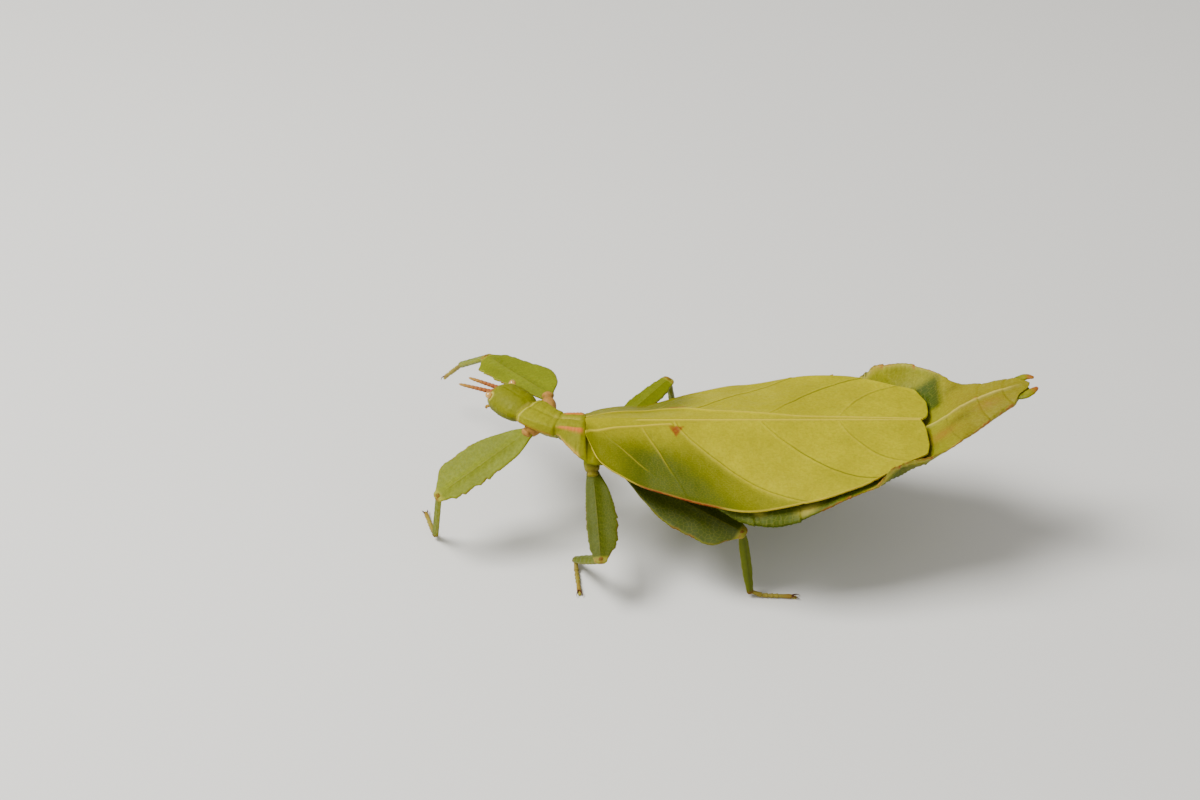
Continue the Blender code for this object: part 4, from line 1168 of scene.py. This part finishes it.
class LEAF_OT_antennae(bpy.types.Operator):
    """Makes the two short beaded feelers"""

    bl_idname = "leaf_insect.antennae"
    bl_label = "Antennae"

    def execute(self, context):
        look = context.scene.leaf_insect
        colours = (look.legs.feeler, look.legs.claw, look.body.pale, look.legs.rust)
        material = cuticle("bristled feeler cuticle", colours, grain=0.2)
        for name, side in (("antenna_left", -1), ("antenna_right", 1)):
            root = head_place(ANTENNA_ROOT[0], side * ANTENNA_ROOT[1], ANTENNA_ROOT[2])
            turn = radians(ANTENNA_YAW + side * 4)
            reach = ANTENNA_LENGTH + 0.3
            ahead = reach * np.array((-cos(turn), sin(turn), 0.0))
            path = [root + ahead * t for t in (0, 0.3, 0.65, 1.0)]

            def thickness(share):
                joint = (share * ANTENNA_JOINTS) % 1.0
                size = 0.37 - 0.13 * share + 0.13 * ease(0.13, 0.09, share)
                bead = 0.72 + 0.28 * np.sin(pi * np.clip(joint, 0, 1)) ** 0.5
                return size * bead * np.sqrt(np.clip(1 - share**14, 0.03, 1))

            piece, share, _ = tube(name + "_skin", path, thickness, around=24, rows=200)
            joint = (share * ANTENNA_JOINTS) % 1.0
            mark(piece, deep=0.35 * hump(joint, 0.12), pale=0.35 * ease(0.4, 0.9, share), rust=0.3)
            dress(piece, material, "antenna_cuticle", name)
        return {"FINISHED"}


# Legs

def blade(name, start, end, facing, cores, lobe_reach, edge, bulge, around, rows):
    """A limb with a swollen middle and a thin lobe along each side, both ends rounded.

    lobe_reach gives the reach of the left and right lobe for shares of the length. edge and bulge
    give half the thickness, at the lobes in millimetres and at the middle as a share of the core.
    The returned arrays hold each vertex's share of the length and how far out it lies, -1 to 1.
    """
    start, end = np.array(start, float), np.array(end, float)
    length = np.linalg.norm(end - start)
    direction = (end - start) / length
    side, face = frame_of(direction, facing)
    total = cores[0] + length + cores[1]

    def shape(share, turn):
        way = share * total - cores[0]
        within = np.clip(way / length, 0.0, 1.0)
        past = np.maximum(-way / cores[0], (way - length) / cores[1])
        shrink = np.sqrt(np.clip(1 - np.maximum(past, 0.0) ** 2, 0.0, 1.0))
        core = cores[0] + (cores[1] - cores[0]) * within
        left, right = lobe_reach(within)
        across = spread(turn)
        reach = np.where(across < 0, np.maximum(left, 1.02 * core), np.maximum(right, 1.02 * core))
        offset = across * reach * shrink
        lobe = edge * np.sqrt(1 - 0.9 * np.abs(across) ** 16)
        half = shrink * (lobe + (bulge * core - edge) * hump(offset, core))
        upper = np.where(turn < pi, 1.0, -1.0)
        upper = np.where(np.isclose(np.abs(across), 1.0), 0.0, upper)
        middle = start + direction * way[:, None]
        return middle + side * offset[:, None] + face * (upper * half)[:, None]

    piece, share, turn = skin(name, around, rows, shape)
    within = (share * total - cores[0]) / length
    return piece, np.clip(within, 0, 1), spread(turn)


def thigh_reach(leg):
    """The reach of a thigh's two toothed lobes, as a function of shares of its length."""

    def reach(share):
        left, right = smooth_through(leg["lobes"], share)
        step = (TEETH_TO - TEETH_FROM) / THIGH_TEETH
        phase = ((share + 0.02 * np.sin(23 * share) - TEETH_FROM) / step) % 1.0
        tooth = np.where(phase < 0.78, phase / 0.78, (1 - phase) / 0.22) - 0.4
        toothed = 0.7 * ease(TEETH_FROM - 0.01, TEETH_FROM + 0.02, share)
        toothed *= tooth * ease(TEETH_TO + 0.03, TEETH_TO, share)
        nicks = 0.02 * np.sin(2 * pi * share * 23) * ease(0.1, 0.3, share) * ease(1.0, 0.95, share)
        return left + leg["teeth"][0] * toothed + nicks, right + leg["teeth"][1] * toothed - nicks

    return reach


def make_thigh(place, leg, material):
    """A thigh with its two leaf-like lobes."""
    cores = (0.9 * HIP_RADIUS, 0.8 * KNEE_RADIUS)
    piece, share, across = blade(
        f"thigh_{place}", leg["hip"], leg["knee"], leg["facing"], cores,
        thigh_reach(leg), edge=0.2, bulge=0.58, around=96, rows=240,
    )
    at = insect_places(piece)
    out = np.abs(across)
    inner = ease(0.08, 0.16, share) * ease(0.98, 0.9, share)
    ribs = np.sin(2 * pi * (share * 13 - 1.2 * out) + 0.8 * ripple(at, 2.5, 52))
    ribs *= ease(0.55, 0.1, out)
    push_out(piece, inner * (0.06 * hump(across, 0.05) + 0.014 * ribs) + 0.04 * ripple(at, 2.4, 51))
    rim = ease(0.93, 0.99, out)
    teeth = rim * ease(TEETH_FROM - 0.15, TEETH_FROM + 0.1, share)
    teeth *= 0.7 * ease(0.2, 0.8, 0.5 + 0.5 * ripple(at, 1.5, 53))
    ends = 0.6 * ease(0.03, 0.0, share) + ease(0.98, 1.0, share)
    ends *= 0.6 * ease(-0.6, 0.5, ripple(at, 0.7, 54))
    mark(
        piece,
        # SHADE paints the leg's shadow; the midrib and ribs are deeper green of their own
        deep=SHADE[place] + 0.2 * hump(across, 0.06) * inner + 0.05 * ribs * inner,
        pale=0.25 * rim + 0.12 * hump(across, 0.03) * inner + 0.4 * ease(0.955, 1.0, share),
        rust=np.maximum(teeth, ends),
    )
    lay_net(piece, 4.5 * across, share * 20)
    dress(piece, material, "femur_leaf", f"leg_{place}_femur")


def make_shank(place, leg, material):
    """A shank, flattened where the leg table says so."""
    reach = leg.get("shank", (0.55, 0.55))

    def shank_reach(share):
        bulge = smooth_through(SHANK_BULGE, share)[0]
        return SHANK_RADIUS + reach[0] * bulge * 0.5, SHANK_RADIUS + reach[1] * bulge * 0.5

    piece, share, across = blade(
        f"shank_{place}", leg["knee"], leg["ankle"], leg["facing"], (SHANK_RADIUS, ANKLE_RADIUS),
        shank_reach, edge=0.2, bulge=0.95, around=40, rows=120,
    )
    at = insect_places(piece)
    push_out(piece, 0.03 * ripple(at, 1.0, 61) + 0.03 * hump(across, 0.1))
    mark(
        piece,
        # part of the leg's painted shadow, and a deeper middle
        deep=0.6 * SHADE[place] + 0.2 * hump(across, 0.4),
        pale=0.2 * ease(0.85, 1.0, np.abs(across)),
        rust=np.maximum(0.6 * ease(0.05, 0.0, share), 0.5 * ease(0.95, 1.0, share)),
    )
    dress(piece, material, "shank_cuticle", f"leg_{place}_tibia")


def foot_route(leg):
    """The foot's middle line from the ankle down to the floor and along it to the toe."""
    ankle, toe = np.array(leg["ankle"], float), np.array(leg["toe"], float)
    heel = ankle + (toe - ankle) * leg.get("heel", 0.35)
    if leg.get("on_floor", True):
        heel[2] = toe[2]
    return np.array((ankle, heel, (heel + toe) / 2, toe))


def make_foot(place, leg, material):
    """A foot of five joints with a pad and two curved claws."""
    route = foot_route(leg)

    def thickness(share):
        size = np.zeros(len(share))
        for start, end in zip(FOOT_JOINTS, FOOT_JOINTS[1:]):
            inside = (share >= start) & (share <= end)
            t = np.clip((share - start) / (end - start), 0, 1)
            size = np.where(inside, 0.27 + 0.13 * t**1.5 - 0.16 * ease(0.9, 1.0, t), size)
        return size * np.sqrt(np.clip(1 - share**30, 0.04, 1))

    foot, share, _ = tube(f"foot_{place}", route, thickness, around=24, rows=150)
    mark(foot, pale=0.2 * ease(0.2, 0.6, share), rust=0.1 + 0.35 * ease(0.6, 1.0, share))
    direction = unit(route[3] - route[1])
    side, face = frame_of(direction, (0, 0, 1))
    toe = route[3]
    parts = [foot]
    for hand in (-1, 1):
        steps = ((-0.2, 0.1, 0.1), (0.4, 0.32, 0.16), (0.8, 0.42, 0.05), (1.05, 0.4, -0.14))
        path = [toe + direction * a + side * hand * b + face * c for a, b, c in steps]
        claw, share, _ = tube("claw", path, lambda s: 0.14 * (1 - 0.85 * s), around=12, rows=24)
        mark(claw, deep=1.0, rust=0.2 * ease(0.5, 0.0, share))
        parts.append(claw)

    def pad_thickness(share):
        return 0.24 * np.sqrt(np.clip(1 - (2 * share - 1) ** 4, 0.03, 1))

    path = [toe + direction * a - face * 0.14 for a in (-0.1, 0.25, 0.6)]
    pad, _, _ = tube("pad", path, pad_thickness, around=16, rows=20)
    mark(pad, pale=0.5, rust=0.1)
    parts.append(pad)
    dress(join_pieces(f"foot_{place}", parts), material, "foot_cuticle", f"leg_{place}_tarsus")


def make_leg_root(place, leg, material):
    """The two short joints that carry the thigh."""
    root, hip = np.array(leg["root"]), np.array(leg["hip"])

    def thickness(share):
        waist = 0.24 * hump(share - 0.74, 0.07)
        end = np.sqrt(np.clip(1 - np.clip((share - 0.82) / 0.18, 0, 1) ** 2, 0.02, 1))
        size = COXA_RADIUS + 0.08 * np.sin(pi * share) - 0.22 * ease(0.5, 1.0, share)
        return (size - waist) * end

    tip = hip + unit(hip - root) * HIP_RADIUS * 0.9
    path = [root, (root + tip) / 2, tip]
    piece, share, _ = tube(f"root_{place}", path, thickness, around=40, rows=90)
    at = insect_places(piece)
    push_out(piece, 0.05 * ripple(at, 0.8, 71) + 0.02 * ripple(at, 0.3, 72))
    mark(piece, deep=0.4 * hump(share - 0.74, 0.05), pale=0.2, rust=0.3 * ease(0.3, 0.7, share))
    dress(piece, material, "coxa_cuticle", f"leg_{place}_coxa")


class LEAF_OT_legs(bpy.types.Operator):
    """Makes all six legs: roots, toothed thighs, shanks and feet"""

    bl_idname = "leaf_insect.legs"
    bl_label = "Legs"

    def execute(self, context):
        look = context.scene.leaf_insect.legs
        colours = (look.leaf, look.deep, look.pale, look.rust)
        thigh = cuticle("leafy thigh cuticle", colours, net=0.75)
        shank = cuticle("shank cuticle", colours, grain=0.25)
        foot = cuticle("foot cuticle", (look.foot, look.claw, *colours[2:]), grain=0.2, rough=0.4)
        root = cuticle("soft leg root cuticle", (look.root, *colours[1:]), grain=0.25)
        for place, leg in LEGS.items():
            make_leg_root(place, leg, root if place.startswith("front") else shank)
            make_thigh(place, leg, thigh)
            make_shank(place, leg, shank)
            make_foot(place, leg, foot)
        return {"FINISHED"}


# Stage

MIDDLE = (22.0, 0.0, 15.0)  # of the insect, where the lights point
AIM = (0.0, 5.26, 20.65)  # what the camera has in the middle of the picture


def add_light(name, place, aim, size, power):
    """A soft square light turned toward a place."""
    light = bpy.data.lights.new(name, "AREA")
    light.size = size
    light.energy = power
    lamp = bpy.data.objects.new(name, light)
    lamp.location = place
    lamp.rotation_euler = (Vector(aim) - Vector(place)).to_track_quat("-Z", "Y").to_euler()
    bpy.context.scene.collection.objects.link(lamp)


class LEAF_OT_stage(bpy.types.Operator):
    """Adds the pale floor, the soft lights and the camera"""

    bl_idname = "leaf_insect.stage"
    bl_label = "Stage"

    def execute(self, context):
        look = context.scene.leaf_insect.stage
        floor, _ = add_primitive("floor", bpy.ops.mesh.primitive_plane_add, size=6.0)
        material, tree, shader = new_material("matt painted board")
        # flat white paint rolled on board: no gloss, and a faint unevenness some 8 cm wide
        place = add(tree, "ShaderNodeTexCoord", out="Object")
        cloud = add(tree, "ShaderNodeTexNoise", {"Vector": place, "Scale": 12.0, "Detail": 2.0})
        inputs = {0: cloud, 6: (*look.floor, 1.0), 7: (*(0.95 * c for c in look.floor), 1.0)}
        paint = add(tree, "ShaderNodeMix", inputs, out=2, data_type="RGBA")
        feed(tree, shader, {"Base Color": paint, "Roughness": 0.85})
        floor.data.materials.append(material)
        middle = Vector(SHIFT) + Vector(MIDDLE) * MM
        add_light("key", middle + Vector((-0.32, -0.02, 0.48)), middle, 0.28, look.key)
        add_light("fill", middle + Vector((0.45, -0.4, 0.35)), middle, 0.5, look.fill)
        add_light("front", middle + Vector((-0.3, -0.45, 0.3)), middle, 0.5, look.fill)
        world = bpy.data.worlds.new("studio")
        world.use_nodes = True
        background = world.node_tree.nodes["Background"]
        background.inputs["Color"].default_value = (*linear("#F4F3F0"), 1.0)
        background.inputs["Strength"].default_value = 0.4
        context.scene.world = world
        aim = Vector(SHIFT) + Vector(AIM) * MM
        back = Vector((0.0, -cos(look.elevation), sin(look.elevation)))
        lens = bpy.data.cameras.new("camera")
        lens.lens = look.lens
        lens.sensor_width = 36.0
        lens.clip_start = 0.01
        camera = bpy.data.objects.new("camera", lens)
        camera.location = aim + back * look.distance
        camera.rotation_euler = (-back).to_track_quat("-Z", "Y").to_euler()
        context.scene.collection.objects.link(camera)
        context.scene.camera = camera
        return {"FINISHED"}


class LEAF_PT_panel(bpy.types.Panel):
    """Lists the steps that dress the leaf insect"""

    bl_label = "Leaf insect"
    bl_idname = "LEAF_PT_panel"
    bl_space_type = "VIEW_3D"
    bl_region_type = "UI"
    bl_category = "Leaf insect"

    def draw(self, context):
        look = context.scene.leaf_insect
        for group in (look.wings, look.body, look.legs, look.stage):
            box = self.layout.box()
            for name in group.__annotations__:
                box.prop(group, name)
        for step in STEPS:
            self.layout.operator(step.bl_idname)


STEPS = (
    LEAF_OT_forewings,
    LEAF_OT_abdomen,
    LEAF_OT_thorax,
    LEAF_OT_head,
    LEAF_OT_antennae,
    LEAF_OT_legs,
    LEAF_OT_stage,
)
GROUPS = (WingLook, BodyLook, LegLook, StageLook, InsectLook)


def register():
    for kind in (*GROUPS, *STEPS, LEAF_PT_panel):
        bpy.utils.register_class(kind)
    bpy.types.Scene.leaf_insect = PointerProperty(type=InsectLook)


def unregister():
    del bpy.types.Scene.leaf_insect
    for kind in (LEAF_PT_panel, *reversed(STEPS), *reversed(GROUPS)):
        bpy.utils.unregister_class(kind)


def main():
    register()
    bpy.ops.leaf_insect.forewings()
    bpy.ops.leaf_insect.abdomen()
    bpy.ops.leaf_insect.thorax()
    bpy.ops.leaf_insect.head()
    bpy.ops.leaf_insect.antennae()
    bpy.ops.leaf_insect.legs()
    bpy.ops.leaf_insect.stage()


if __name__ == "__main__":
    main()
